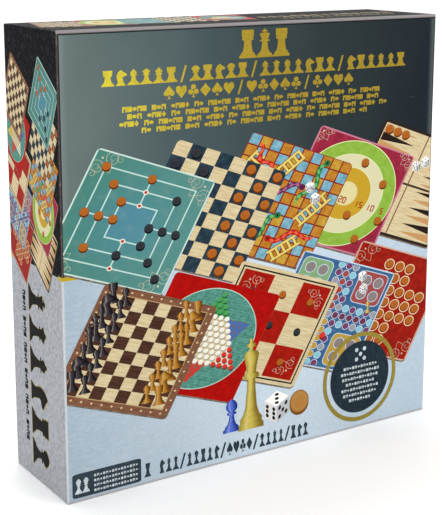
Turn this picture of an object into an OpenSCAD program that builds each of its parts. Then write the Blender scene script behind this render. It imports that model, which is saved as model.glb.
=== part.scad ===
// Games compendium box: a telescoping cardboard lid and base that hold a moulded tray of
// playing pieces, a stack of double-sided boards and a rules booklet.
// Every piece is drawn as the box lies on a table, with its back down and its cover up, and
// stand_up() then tips the whole set onto its lower edge, with the cover facing -Y.

/* [Box] */
// Width and height of the square box
face = 267; // [252:1:320]
// Depth of the closed box, from cover to back
depth = 70; // [68:1:90]
// Thickness of the greyboard in lid and base
board_t = 1.8; // [1.2:0.1:2.4]
// Thickness of the printed paper wrap
paper_t = 0.3; // [0.2:0.05:0.5]
// Radius that the paper takes round the box's edges
edge_r = 1; // [0.6:0.1:2]
// Width of the paper turned in over each rim
turn_in = 15; // [8:1:25]
// Gap all round between the base's walls and the lid's walls
lid_fit = 0.4; // [0.2:0.1:1]
// How far the base's back stands out of the lid's rim
reveal = 0.6; // [0:0.1:3]
// Gap between the base's rim and the inside of the lid's panel
rim_gap = 0.5; // [0.2:0.1:3]
// Leg of the paper stays that tie the board corners
stay_leg = 18; // [10:1:30]
// Headroom between the booklet and the inside of the lid's panel
lid_headroom = 1; // [0.5:0.1:3]

/* [Boards and booklet] */
// Room between a square playing board and the walls of the base
board_play = 6.6; // [2:0.2:20]
// Corner radius of a playing board
play_corner = 8; // [3:1:20]
// Thickness of a playing board's greyboard core
core_t = 1.8; // [1:0.1:2]
// Thickness of the printed sheet on each face of a playing board
sheet_t = 0.2; // [0.1:0.05:0.3]
// Width of the closed booklet, across from its spine
booklet_w = 148; // [105:1:200]
// Height of the booklet along its spine
booklet_l = 210; // [148:1:240]
// Thickness of the booklet's block of pages
pages_t = 1.6; // [1:0.1:2.2]
// Thickness of the booklet's cover paper
cover_t = 0.3; // [0.2:0.05:0.4]
// Length of the staple bars along the spine
staple_len = 12; // [8:1:20]
// Diameter of the staple wire
staple_d = 0.5; // [0.4:0.05:0.7]

/* [Tray] */
// Thickness of the moulded tray's sheet
tray_t = 1; // [0.6:0.1:1.2]
// Width of the ridges between the tray's wells
ridge = 9; // [5:0.5:10]
// Corner radius of the wells
well_corner = 4; // [2:0.5:8]
// Play beside the outermost pieces in a well
well_play = 0.6; // [0.4:0.1:1]
// Headroom over the tallest piece in each well
well_headroom = 2.5; // [1:0.1:3]
// Gap between the tray, or the boards, and the walls of the base
wall_gap = 0.6; // [0.4:0.1:1]
// Gap left under each loose layer and each playing piece
seat = 0.2; // [0.1:0.05:0.3]

/* [Chess pieces] */
// Spacing of the chess pieces in their wells
chess_pitch = 23; // [20:0.5:23.5]
// Height of the king
king_h = 39; // [36:1:46]
// Radius of the king's foot
king_r = 8.6; // [8:0.1:9.8]

/* [Counters, pawns and dice] */
// Diameter of a draughts counter
counter_d = 24; // [18:0.5:25]
// Thickness of a draughts counter
counter_t = 5.4; // [3:0.1:5.5]
// Height of a pawn
pawn_h = 25; // [18:1:30]
// Radius of a pawn's foot
pawn_r = 7; // [5:0.1:9]
// Height of a star-game peg
peg_h = 17; // [12:1:22]
// Radius of a star-game peg's foot
peg_r = 4.2; // [3:0.1:5]
// Side of a die
die = 12; // [9:0.5:12.5]
// Gap between two pawns, foot to foot, across their well
pawn_gap = 14; // [8:0.5:16]
// Gap between two pegs, foot to foot, across their well
peg_gap = 3.6; // [2:0.1:5]
// Gap between two dice in their well
die_gap = 1; // [0.5:0.1:2]

/* [Hidden] */
$fn = 48;
cut = 1;              // how far a cutting shape runs past what it cuts
sink = 0.5;           // how far a knight's head is sunk into its plinth

BOARDS = 5;
COUNTERS = 15;
CHESS_KINDS = ["king", "queen", "bishop", "knight", "rook", "pawn"];
CHESS_SIDES = ["black", "tan"];
PAWN_COLOURS = ["red", "blue", "yellow", "green"];
PEG_COLOURS = ["white", "red", "green", "yellow", "blue", "purple"];
DICE = 5;
DICE_COLS = 2;
DICE_ROWS = 3;
function tint(name) =
    name == "black" ? "#2b2a2c" : name == "tan" ? "#c8a24a" : name == "red" ? "#c0241c" :
    name == "blue" ? "#3550c4" : name == "yellow" ? "#e3c02c" : name == "green" ? "#2f9a4c" :
    name == "purple" ? "#7b3f8c" : name == "orange" ? "#d9772b" : "#ece6d6";

// Widths of the two box halves, which nest one inside the other
skin = board_t + 2 * paper_t;
lid_in = face - 2 * skin;
base_out = lid_in - 2 * lid_fit;
base_in = base_out - 2 * skin;
play_side = base_in - board_play;
panel_t = board_t + paper_t;

// Heights of the layers above the back face, with the box on its back
play_t = core_t + 2 * sheet_t;
booklet_t = pages_t + 2 * cover_t;
lid_panel_under = depth - panel_t;
base_h = lid_panel_under - rim_gap;
tray_under = panel_t + seat;
tray_h = lid_panel_under - lid_headroom - (booklet_t + seat) - BOARDS * (play_t + seat) - tray_under;
tray_top = tray_under + tray_h;
booklet_under = tray_top + BOARDS * (play_t + seat) + seat;
function board_under(i) = tray_top + (BOARDS - i) * (play_t + seat) + seat;
tray_out = base_in - 2 * wall_gap;
low_wall = -base_in / 2 + wall_gap;

// Wells of the tray, each [x, y, width, length, depth], worked out from what they hold.
// Square-ended things stay clear of a well's round corners.
square_play = well_play + (1 - sqrt(0.5)) * well_corner;
chess_well = 4 * chess_pitch + 2 * well_play;
left_w = 2 * chess_well + ridge;
peg_rows = 5;
peg_cols = 2 * len(PEG_COLOURS);
peg_pitch_x = (left_w - 2 * well_play) / peg_cols;
peg_pitch_y = 2 * peg_r + peg_gap;
peg_well_l = peg_rows * peg_pitch_y + 2 * well_play;
pawn_rows = 2;
pawn_cols = 2 * len(PAWN_COLOURS);
pawn_pitch_x = (left_w - 2 * well_play) / pawn_cols;
pawn_pitch_y = 2 * pawn_r + pawn_gap;
pawn_need = pawn_rows * pawn_pitch_y + 2 * well_play;
counter_pitch = counter_t + seat;
trough_l = COUNTERS * counter_pitch - seat + 2 * square_play;
die_pitch = die + die_gap;
side_w = max(counter_d, DICE_COLS * die_pitch - die_gap) + 2 * square_play;
dice_need = DICE_ROWS * die_pitch - die_gap + 2 * square_play;

// Two columns of wells of one length: the last well of each takes what is left of it
grid_w = left_w + ridge + side_w;
grid_l = max(chess_well + peg_well_l + pawn_need, 2 * trough_l + dice_need) + 2 * ridge;
pawn_well_l = grid_l - chess_well - peg_well_l - 2 * ridge;
dice_well_l = grid_l - 2 * trough_l - 2 * ridge;
left_x = (-grid_w + left_w) / 2;
side_x = (grid_w - side_w) / 2;
chess_y = (grid_l - chess_well) / 2;
peg_y = grid_l / 2 - chess_well - ridge - peg_well_l / 2;
pawn_y = (pawn_well_l - grid_l) / 2;
trough_y = [for (k = [0, 1]) (grid_l - trough_l) / 2 - k * (trough_l + ridge)];
dice_y = (dice_well_l - grid_l) / 2;
function chess_x(side) = left_x + (side == "black" ? -1 : 1) * (chess_well + ridge) / 2;

chess_depth = king_h + well_headroom;
counter_depth = counter_d + well_headroom;
pawn_depth = pawn_h + well_headroom;
peg_depth = peg_h + well_headroom;
die_depth = die + well_headroom;
WELLS = concat(
    [for (side = CHESS_SIDES) [chess_x(side), chess_y, chess_well, chess_well, chess_depth]],
    [for (y = trough_y) [side_x, y, side_w, trough_l, counter_depth]],
    [[left_x, peg_y, left_w, peg_well_l, peg_depth],
     [left_x, pawn_y, left_w, pawn_well_l, pawn_depth],
     [side_x, dice_y, side_w, dice_well_l, die_depth]]);
function well_floor(well_depth) = tray_top - well_depth + seat;

module stand_up() translate([0, depth / 2, face / 2]) rotate([90, 0, 0]) children();

// A square block around the box's axis, from height low to height high
module block(side, low, high)
    translate([-side / 2, -side / 2, low]) cube([side, side, high - low]);

// The same block with all its edges rounded to radius r
module soft_block(side, low, high, r) {
    h = high - low;
    intersection() {
        translate([0, 0, low]) linear_extrude(h) rounded(side, side, r);
        translate([0, side / 2, low + h / 2]) rotate([90, 0, 0]) linear_extrude(side) rounded(side, h, r);
        translate([-side / 2, 0, low + h / 2]) rotate([90, 0, 90]) linear_extrude(side) rounded(side, h, r);
    }
}

module rounded(w, l, r) {
    square([w - 2 * r, l], center = true);
    square([w, l - 2 * r], center = true);
    for (x = [-1, 1], y = [-1, 1])
        translate([x * (w / 2 - r), y * (l / 2 - r)]) circle(r);
}

// One half of the box, panel down: a folded board, its paper wrap and its corner stays
module half_board(side, height) {
    outer = side - 2 * paper_t;
    difference() {
        soft_block(outer, paper_t, height - paper_t, edge_r - paper_t);
        block(outer - 2 * board_t, panel_t, height + cut);
    }
}

module half_wrap(side, height) {
    board_out = side - 2 * paper_t;
    board_in = board_out - 2 * board_t;
    difference() {
        soft_block(side, 0, height, edge_r);
        difference() {
            soft_block(board_out, paper_t, height - paper_t, edge_r - paper_t);
            block(board_in, height - turn_in, height + cut);
        }
        block(board_in - 2 * paper_t, height - turn_in - cut, height + cut);
    }
}

module half_stays(side, height) {
    inner = side - 2 * panel_t;
    clear_of_turn_in = 1;
    for (turn = [0:90:270]) rotate(turn)
        translate([-inner / 2, -inner / 2, panel_t])
            difference() {
                cube([stay_leg, stay_leg, height - turn_in - clear_of_turn_in - panel_t]);
                translate([paper_t, paper_t, -cut]) cube([stay_leg, stay_leg, height + 2 * cut]);
            }
}

module turned_over() translate([0, 0, depth]) mirror([0, 0, 1]) children();
lid_h = depth - reveal;
module lid_board() color("#b9b2a6") turned_over() half_board(face, lid_h);
module lid_wrap() color("#4a5558") turned_over() half_wrap(face, lid_h);
module lid_corner_stays() color("#d9d3c6") turned_over() half_stays(face, lid_h);
module base_board() color("#b9b2a6") half_board(base_out, base_h);
module base_wrap() color("#a9b4bf") half_wrap(base_out, base_h);
module base_corner_stays() color("#d9d3c6") half_stays(base_out, base_h);

// Playing boards lie square on each other, down against the wall that the box stands on
module board_layer(i, low, thick)
    translate([0, low_wall + play_side / 2, board_under(i) + low])
        linear_extrude(thick) rounded(play_side, play_side, play_corner);
module board_core(i) color("#c9c2b4") board_layer(i, sheet_t, core_t);
module board_front_sheet(i) color("#4fa08f") board_layer(i, sheet_t + core_t, sheet_t);
module board_back_sheet(i) color("#b8342a") board_layer(i, 0, sheet_t);

// The booklet has its spine at the left; its staples are set in drilled legs
spine_x = -booklet_w / 2;
staple_y = [for (s = [-1, 1]) s * booklet_l / 4];
staple_leg = 3;
staple_leg_gap = 0.05;
leg_z = booklet_t / 2;
module at_booklet() translate([0, low_wall + booklet_l / 2, booklet_under]) children();

module staple_legs(wire) for (y = staple_y, s = [-1, 1])
    translate([spine_x - cut, y + s * (staple_len - staple_d) / 2, leg_z])
        rotate([0, 90, 0]) cylinder(d = wire, h = staple_leg + cut);

module booklet_front_cover() color("#8d99a6") at_booklet()
    translate([spine_x, -booklet_l / 2, cover_t + pages_t])
        cube([booklet_w, booklet_l, cover_t]);

module booklet_back_cover() color("#8d99a6") at_booklet() difference() {
    translate([spine_x, -booklet_l / 2, 0]) union() {
        cube([booklet_w, booklet_l, cover_t]);
        cube([cover_t, booklet_l, cover_t + pages_t]);
    }
    staple_legs(staple_d + 2 * staple_leg_gap);
}

module booklet_pages() color("#f2efe6") at_booklet() difference() {
    translate([spine_x + cover_t, -booklet_l / 2, cover_t])
        cube([booklet_w - cover_t, booklet_l, pages_t]);
    staple_legs(staple_d + 2 * staple_leg_gap);
}

module booklet_staples() color("#b8bcc0") at_booklet() for (y = staple_y)
    translate([spine_x - staple_d / 2, y, leg_z]) union() {
        rotate([90, 0, 0]) cylinder(d = staple_d, h = staple_len, center = true);
        for (s = [-1, 1]) translate([0, s * (staple_len - staple_d) / 2, 0])
            rotate([0, 90, 0]) cylinder(d = staple_d, h = staple_d / 2 + staple_leg - staple_leg_gap);
    }

// The tray is one thermoformed sheet: a flat top, a skirt round it, and cups for the wells
module tray() color("#23262a") difference() {
    union() {
        difference() {
            block(tray_out, tray_under, tray_top);
            block(tray_out - 2 * tray_t, tray_under - cut, tray_top - tray_t);
        }
        for (w = WELLS) translate([w[0], w[1], tray_top - w[4] - tray_t])
            linear_extrude(w[4] + tray_t) rounded(w[2] + 2 * tray_t, w[3] + 2 * tray_t, well_corner + tray_t);
    }
    for (w = WELLS) translate([w[0], w[1], tray_top - w[4]])
        linear_extrude(w[4] + cut) rounded(w[2], w[3], well_corner);
}

// Turned pieces: an outline of [radius, height] points from the foot up, spun about the axis
module turned(outline) rotate_extrude()
    polygon(concat([[0, 0]], outline, [[0, outline[len(outline) - 1][1]]]));
STEM_STEPS = 6;
STEM_CURVE = 2.4;
function stem(r0, r1, z0, z1) = [for (i = [0:STEM_STEPS])
    let (t = i / STEM_STEPS) [r1 + (r0 - r1) * pow(1 - t, STEM_CURVE), z0 + (z1 - z0) * t]];
function foot(r, h) = [[r, 0], [r, 0.4 * h], [0.94 * r, 0.6 * h], [0.94 * r, 0.8 * h], [0.8 * r, h]];
function collar(r, z, h) = [[r - h, z], [r, z + 0.3 * h], [r, z + 0.7 * h], [r - h, z + h]];
FOOT_H = 4.4;

// Heights and radii of the chess pieces go by the king's
function chess_h(kind) = king_h * (kind == "king" ? 1 : kind == "queen" ? 0.91 :
    kind == "bishop" ? 0.8 : kind == "knight" ? 0.73 : kind == "rook" ? 0.66 : 0.59);
function chess_r(kind) = king_r * (kind == "king" ? 1 : kind == "queen" ? 0.98 :
    kind == "pawn" ? 0.82 : 0.92);

module king() {
    h = chess_h("king");
    r = chess_r("king");
    crown_z = 0.62 * h;
    crown_top = 0.87 * h;
    arm = 0.55 * r;
    bar = 0.2 * r;
    turned(concat(foot(r, FOOT_H), stem(0.78 * r, 0.38 * r, FOOT_H, 0.56 * h),
        collar(0.64 * r, 0.56 * h, 0.045 * h),
        [[0.42 * r, crown_z], [0.56 * r, 0.82 * h], [0.46 * r, 0.845 * h], [0.16 * r, crown_top]]));
    translate([-bar / 2, -bar / 2, crown_top - bar]) cube([bar, bar, h - crown_top + bar]);
    translate([-arm / 2, -bar / 2, 0.93 * h - bar / 2]) cube([arm, bar, bar]);
}

module queen() {
    h = chess_h("queen");
    r = chess_r("queen");
    rim_z = 0.86 * h;
    rim_r = 0.58 * r;
    points = 8;
    bead = 0.17 * r;
    difference() {
        turned(concat(foot(r, FOOT_H), stem(0.78 * r, 0.36 * r, FOOT_H, 0.6 * h),
            collar(0.62 * r, 0.6 * h, 0.045 * h),
            [[0.4 * r, 0.66 * h], [rim_r, rim_z], [0.4 * r, rim_z - 0.02 * h], [0.22 * r, 0.9 * h]]));
        for (k = [0:points - 1]) rotate(360 * (k + 0.5) / points)
            translate([rim_r, 0, rim_z]) sphere(0.14 * r);
    }
    translate([0, 0, h - bead]) sphere(bead);
    translate([0, 0, 0.88 * h]) cylinder(r = 0.12 * r, h = 0.1 * h);
}

module bishop() {
    h = chess_h("bishop");
    r = chess_r("bishop");
    mitre_z = 0.68 * h;
    mitre_l = 0.27 * h;
    mitre_r = 0.5 * r;
    steps = 7;
    slot = 0.8;
    bead = 0.15 * r;
    difference() {
        turned(concat(foot(r, FOOT_H), stem(0.78 * r, 0.34 * r, FOOT_H, 0.61 * h),
            collar(0.6 * r, 0.61 * h, 0.05 * h),
            [for (i = [0:steps]) let (t = i / steps)
                [mitre_r * max(0.18, sin(20 + 160 * pow(t, 0.8))), mitre_z + mitre_l * t]]));
        translate([0.62 * mitre_r, 0, mitre_z + 0.62 * mitre_l]) rotate([0, 35, 0])
            cube([slot, 2 * r, 0.7 * mitre_l], center = true);
    }
    translate([0, 0, h - bead]) sphere(bead);
}

module knight() {
    h = chess_h("knight");
    r = chess_r("knight");
    plinth = 0.3 * h;
    head = h - plinth + sink;
    thick = 0.8 * r;
    turned(concat(foot(r, FOOT_H), stem(0.78 * r, 0.7 * r, FOOT_H, plinth)));
    translate([0, thick / 2, plinth - sink]) rotate([90, 0, 0]) linear_extrude(thick)
        polygon([for (p = [[-0.62, 0], [0.62, 0], [0.64, 0.08], [0.38, 0.24], [0.34, 0.36],
            [0.6, 0.36], [0.86, 0.34], [0.94, 0.44], [0.76, 0.57], [0.42, 0.72], [0.32, 0.83],
            [0.2, 0.9], [0.06, 1], [-0.08, 0.88], [-0.42, 0.82], [-0.7, 0.66], [-0.8, 0.45],
            [-0.76, 0.24]]) [p[0] * r, p[1] * head]]);
}

module rook() {
    h = chess_h("rook");
    r = chess_r("rook");
    turret_z = 0.76 * h;
    turret_r = 0.66 * r;
    wall = 0.2 * r;
    notch = 0.22 * r;
    notch_depth = 0.1 * h;
    difference() {
        turned(concat(foot(r, FOOT_H), stem(0.8 * r, 0.48 * r, FOOT_H, 0.68 * h),
            [[turret_r, turret_z], [turret_r, h]]));
        translate([0, 0, h - 1.2 * notch_depth])
            cylinder(r = turret_r - wall, h = 1.2 * notch_depth + cut);
        for (turn = [0, 60, 120]) rotate(turn) translate([-r, -notch / 2, h - notch_depth])
            cube([2 * r, notch, notch_depth + cut]);
    }
}

module chess_pawn() {
    h = chess_h("pawn");
    r = chess_r("pawn");
    ball = 0.58 * r;
    neck_z = h - 1.75 * ball;
    turned(concat(foot(r, 0.9 * FOOT_H), stem(0.76 * r, 0.36 * r, 0.9 * FOOT_H, neck_z - 0.06 * h),
        collar(0.62 * r, neck_z - 0.06 * h, 0.06 * h)));
    translate([0, 0, h - ball]) sphere(ball);
}

module chess_shape(kind) {
    if (kind == "king") king();
    if (kind == "queen") queen();
    if (kind == "bishop") bishop();
    if (kind == "knight") rotate(90) knight();
    if (kind == "rook") rook();
    if (kind == "pawn") chess_pawn();
}

// Each side's sixteen pieces fill a 4 by 4 grid, with the pawns in the two rows below
CHESS_GRID = [["rook", "knight", "bishop", "queen"], ["king", "bishop", "knight", "rook"],
    ["pawn", "pawn", "pawn", "pawn"], ["pawn", "pawn", "pawn", "pawn"]];
module chess_set(side, kind) color(tint(side)) for (row = [0:3], col = [0:3])
    if (CHESS_GRID[row][col] == kind)
        translate([chess_x(side) + (col - 1.5) * chess_pitch, chess_y - (row - 1.5) * chess_pitch,
            well_floor(chess_depth)]) chess_shape(kind);

// A draughts counter has a raised ring and a bevelled edge on both faces
counter_ring = 3.4;
counter_relief = 0.6;
module counter() {
    r = counter_d / 2;
    half = [[r - counter_ring - counter_relief, counter_relief], [r - counter_ring, 0],
        [r - counter_relief, 0], [r, counter_relief]];
    rotate_extrude() polygon(concat([[0, counter_relief]], half,
        [for (i = [3:-1:0]) [half[i][0], counter_t - half[i][1]]], [[0, counter_t - counter_relief]]));
}

module counters(colour, trough) color(tint(colour)) for (k = [0:COUNTERS - 1])
    translate([side_x, trough_y[trough] + (k - (COUNTERS - 1) / 2) * counter_pitch + counter_t / 2,
        well_floor(counter_depth) + counter_d / 2]) rotate([90, 0, 0]) counter();

// Pawns and pegs share one shape: a round foot, a waisted stem and a ball
module pawn_shape(r, h) {
    ball = 0.16 * h + 0.05 * r;
    neck_z = h - 1.8 * ball;
    foot_h = 0.12 * h;
    turned(concat(foot(r, foot_h), stem(0.8 * r, 0.3 * r, foot_h, neck_z),
        collar(0.5 * r, neck_z, 0.05 * h)));
    translate([0, 0, h - ball]) sphere(ball);
}

module in_grid(y, cols, rows, pitch_x, pitch_y, first_col, well_depth)
    for (col = [first_col, first_col + 1], row = [0:rows - 1])
        translate([left_x + (col - (cols - 1) / 2) * pitch_x, y + (row - (rows - 1) / 2) * pitch_y,
            well_floor(well_depth)]) children();

module game_pawns(k) color(tint(PAWN_COLOURS[k]))
    in_grid(pawn_y, pawn_cols, pawn_rows, pawn_pitch_x, pawn_pitch_y, 2 * k, pawn_depth)
        pawn_shape(pawn_r, pawn_h);

module pegs(k) color(tint(PEG_COLOURS[k]))
    in_grid(peg_y, peg_cols, peg_rows, peg_pitch_x, peg_pitch_y, 2 * k, peg_depth)
        pawn_shape(peg_r, peg_h);

// A die is a cube with its corners turned round and its pips sunk in; opposite faces add to seven
PIPS = [[[0, 0]], [[-1, -1], [1, 1]], [[-1, -1], [0, 0], [1, 1]],
    [[-1, -1], [1, -1], [-1, 1], [1, 1]], [[-1, -1], [1, -1], [0, 0], [-1, 1], [1, 1]],
    [[-1, -1], [1, -1], [-1, 0], [1, 0], [-1, 1], [1, 1]]];
DIE_FACES = [[0, 0, 0], [0, 90, 0], [90, 0, 0], [-90, 0, 0], [0, -90, 0], [180, 0, 0]];
pip_r = 0.11;
pip_step = 0.26;
die_rounding = 0.74;
module one_die() difference() {
    intersection() {
        cube(die, center = true);
        sphere(die_rounding * die);
    }
    for (f = [0:5]) rotate(DIE_FACES[f]) for (p = PIPS[f])
        translate([p[0] * pip_step * die, p[1] * pip_step * die, die / 2 + 0.4 * pip_r * die])
            sphere(pip_r * die, $fn = 24);
}

module dice() color("#f4f2ec") for (k = [0:DICE - 1])
    let (col = k % DICE_COLS, row = floor(k / DICE_COLS))
        translate([side_x + (col - (DICE_COLS - 1) / 2) * die_pitch,
            dice_y - (row - (DICE_ROWS - 1) / 2) * die_pitch, well_floor(die_depth) + die / 2])
            rotate(DIE_FACES[(k + 2) % 6]) one_die();

stand_up() lid_board();
stand_up() lid_wrap();
stand_up() lid_corner_stays();
stand_up() base_board();
stand_up() base_wrap();
stand_up() base_corner_stays();
for (i = [1:BOARDS]) {
    stand_up() board_core(i);
    stand_up() board_front_sheet(i);
    stand_up() board_back_sheet(i);
}
stand_up() booklet_front_cover();
stand_up() booklet_back_cover();
stand_up() booklet_pages();
stand_up() booklet_staples();
stand_up() tray();  // piece_tray
for (side = CHESS_SIDES, kind = CHESS_KINDS)
    stand_up() chess_set(side, kind);
stand_up() counters("orange", 0);  // orange_counters
stand_up() counters("black", 1);  // black_counters
for (k = [0:len(PAWN_COLOURS) - 1])
    stand_up() game_pawns(k);
for (k = [0:len(PEG_COLOURS) - 1])
    stand_up() pegs(k);
stand_up() dice();
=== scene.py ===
import math

import bmesh
import bpy
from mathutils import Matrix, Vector


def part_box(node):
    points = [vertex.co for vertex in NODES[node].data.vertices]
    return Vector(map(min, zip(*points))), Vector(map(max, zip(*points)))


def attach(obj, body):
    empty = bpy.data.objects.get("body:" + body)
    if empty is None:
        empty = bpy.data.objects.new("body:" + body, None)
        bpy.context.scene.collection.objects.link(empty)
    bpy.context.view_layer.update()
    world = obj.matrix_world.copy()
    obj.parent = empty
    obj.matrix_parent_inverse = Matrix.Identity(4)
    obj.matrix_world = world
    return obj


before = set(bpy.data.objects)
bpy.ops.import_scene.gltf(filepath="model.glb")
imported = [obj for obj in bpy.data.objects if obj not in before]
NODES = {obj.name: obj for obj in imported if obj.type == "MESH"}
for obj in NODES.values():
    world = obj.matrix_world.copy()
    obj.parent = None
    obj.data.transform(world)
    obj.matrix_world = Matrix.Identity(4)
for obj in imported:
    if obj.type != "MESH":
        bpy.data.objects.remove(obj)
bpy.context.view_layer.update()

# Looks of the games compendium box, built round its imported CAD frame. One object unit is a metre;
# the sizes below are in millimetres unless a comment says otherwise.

MM = 0.001
PRINT_MAP = "print"


# Shader arithmetic

class Wire:
    """One output of a shader node. Arithmetic on it adds Math nodes to its material."""

    def __init__(self, paint, socket):
        self.paint = paint
        self.socket = socket

    def math(self, operation, *others):
        return self.paint.node("Math", {"operation": operation}, dict(enumerate((self, *others))))

    def reflected(self, operation, other):
        return self.paint.node("Math", {"operation": operation}, {0: other, 1: self})

    def __add__(self, other):
        return self.math("ADD", other)

    def __radd__(self, other):
        return self.math("ADD", other)

    def __sub__(self, other):
        return self.math("SUBTRACT", other)

    def __rsub__(self, other):
        return self.reflected("SUBTRACT", other)

    def __mul__(self, other):
        return self.math("MULTIPLY", other)

    def __rmul__(self, other):
        return self.math("MULTIPLY", other)

    def __truediv__(self, other):
        return self.math("DIVIDE", other)

    def __rtruediv__(self, other):
        return self.reflected("DIVIDE", other)

    def __mod__(self, other):
        return self.math("FLOORED_MODULO", other)

    def __pow__(self, other):
        return self.math("POWER", other)

    def __lt__(self, other):
        return self.math("LESS_THAN", other)

    def __gt__(self, other):
        return self.math("GREATER_THAN", other)

    def __abs__(self):
        return self.math("ABSOLUTE")

    def __neg__(self):
        return self.math("MULTIPLY", -1.0)

    def least(self, other):
        return self.math("MINIMUM", other)

    def most(self, other):
        return self.math("MAXIMUM", other)

    def floor(self):
        return self.math("FLOOR")

    def nearest(self):
        return self.math("ROUND")

    def sine(self):
        return self.math("SINE")

    def root(self):
        return self.math("SQRT")

    def eased(self, low, high):
        """0 below low, 1 above high, with a smooth step between them."""
        spread = {"interpolation_type": "SMOOTHSTEP"}
        return self.paint.node("MapRange", spread, {"Value": self, "From Min": low, "From Max": high})


class Paint:
    """A material in the making."""

    def __init__(self, name):
        self.material = bpy.data.materials.new(name)
        self.material.use_nodes = True
        self.tree = self.material.node_tree
        self.surface = self.tree.nodes["Principled BSDF"]

    def set(self, socket, value):
        if isinstance(value, Wire):
            self.tree.links.new(value.socket, socket)
        elif isinstance(value, tuple) and socket.type == "RGBA":
            socket.default_value = (*value, 1.0)[:4]
        else:
            socket.default_value = value

    def node(self, kind, settings=None, sockets=None, output=0):
        made = self.tree.nodes.new("ShaderNode" + kind)
        for key, value in (settings or {}).items():
            if key == "stops":
                self.fill_ramp(made.color_ramp, value)
            else:
                setattr(made, key, value)
        for key, value in (sockets or {}).items():
            self.set(made.inputs[key], value)
        return Wire(self, made.outputs[output])

    def fill_ramp(self, ramp, stops):
        while len(ramp.elements) < len(stops):
            ramp.elements.new(1.0)
        for element, (position, colour) in zip(ramp.elements, stops):
            element.position = position
            element.color = (*colour, 1.0)

    def split(self, vector):
        parts = self.node("SeparateXYZ", None, {0: vector}).socket.node.outputs
        return [Wire(self, part) for part in parts]

    def join(self, x, y, z=0.0):
        return self.node("CombineXYZ", None, {0: x, 1: y, 2: z})

    def place(self):
        """Where the point lies in the box's frame, in millimetres."""
        spot = self.node("TexCoord", output="Object")
        return self.node("VectorMath", {"operation": "SCALE"}, {0: spot, 3: 1 / MM})

    def print_place(self):
        """Where the point lies in the printed shape's own map."""
        return self.node("UVMap", {"uv_map": PRINT_MAP})

    def mix(self, share, low, high, blend="MIX"):
        kind = {"data_type": "RGBA", "blend_type": blend}
        return self.node("Mix", kind, {0: share, 6: low, 7: high}, output=2)

    def layers(self, base, *coats):
        """Lays coats of (mask, colour) over a base, one after another."""
        colour = base
        for mask, coat in coats:
            colour = self.mix(mask, colour, coat)
        return colour

    def noise(self, spot, scale, detail=2.0, roughness=0.5, distortion=0.0):
        sockets = {"Vector": spot, "Scale": scale, "Detail": detail,
                   "Roughness": roughness, "Distortion": distortion}
        return self.node("TexNoise", None, sockets)

    def cells(self, spot, scale, feature="F1", output=0):
        return self.node("TexVoronoi", {"feature": feature}, {"Vector": spot, "Scale": scale}, output)

    def ramp(self, share, *stops):
        return self.node("ValToRGB", {"stops": stops}, {0: share})

    def bump(self, height, depth, strength=1.0, under=None):
        sockets = {"Height": height, "Distance": depth, "Strength": strength}
        if under is not None:
            sockets["Normal"] = under
        return self.node("Bump", None, sockets)

    def finish(self, **looks):
        """Sets the shader's sockets, named in small letters with underscores, and gives the material."""
        for key, value in looks.items():
            self.set(self.surface.inputs[SOCKETS[key]], value)
        return self.material


SOCKETS = {"colour": "Base Color", "roughness": "Roughness", "metal": "Metallic", "normal": "Normal",
           "coat": "Coat Weight", "coat_roughness": "Coat Roughness", "gloss": "Specular IOR Level",
           "alpha": "Alpha", "skin": "Subsurface Weight", "skin_radius": "Subsurface Radius",
           "skin_scale": "Subsurface Scale", "glow": "Emission Strength", "glow_colour": "Emission Color"}


# Colours as printed, moulded and lit

def ink(code):
    """A colour as it looks on a screen, as the linear values that a shader takes."""
    parts = [int(code[i:i + 2], 16) / 255 for i in (1, 3, 5)]
    return tuple(p / 12.92 if p <= 0.04045 else ((p + 0.055) / 1.055) ** 2.4 for p in parts)


CREAM = ink("#dfd2b6")
WHITE = ink("#ecebe6")
BLACK = ink("#1a1819")
GOLD = ink("#b89f2c")
PALE_WOOD = ink("#d3c49f")
DEEP_WOOD = ink("#bda87d")


# The ten traditional board designs, drawn in board coordinates from -1 to 1

def checked(x, y, squares):
    """1 on every other square of a chequered board, 0 between them."""
    column = ((x + 1) * (squares / 2)).floor()
    row = ((y + 1) * (squares / 2)).floor()
    return (column + row) % 2


def wood(paint, x, y, light=PALE_WOOD, dark=DEEP_WOOD):
    grain = paint.noise(paint.join(x * 1.6, y * 22), 2.0, 4.0, 0.65)
    return paint.mix(grain.eased(0.35, 0.68), light, dark)


def speckled(paint, x, y, light, dark, scale=9.0):
    """Printed ground that varies softly between two shades."""
    cloud = paint.noise(paint.join(x, y), scale, 4.0, 0.6)
    return paint.mix(cloud.eased(0.3, 0.7), dark, light)


def radius(x, y):
    return (x * x + y * y).root()


def fold(x, y):
    """How far the point lies from the centre along the larger and the smaller axis."""
    return abs(x).most(abs(y)), abs(x).least(abs(y))


def from_step(value, pitch):
    """Distance to the nearest step of a row with this pitch, with its sign."""
    return value - (value / pitch).nearest() * pitch


def mill(paint, x, y):
    far, near = fold(x, y)
    line = 0.011
    ground = paint.mix(radius(x, y).eased(0.1, 1.1), ink("#427c82"), ink("#437a6f"))
    ground = paint.mix((far < 0.3) * 0.5, ground, ink("#477c99"))
    ground = paint.mix((x + 1) * 0.2, ground, ink("#5f9091"))
    ground = paint.mix(paint.noise(paint.join(x, y), 5.0, 4.0).eased(0.45, 0.8) * 0.06, ground, CREAM)
    squares = (abs(far - 0.76) < line).most(abs(far - 0.53) < line).most(abs(far - 0.3) < line)
    spokes = (near < line) * (far > 0.3) * (far < 0.76)
    joint = radius(near, far - 0.3).least(radius(near, far - 0.53)).least(radius(near, far - 0.76))
    return paint.layers(
        ground, (squares.most(spokes), ink("#b4d0c8")), (joint < 0.042, ink("#ded6c8")),
        (joint < 0.024, ink("#a8282a")), (far > 0.975, ink("#bcd2ca")))


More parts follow.
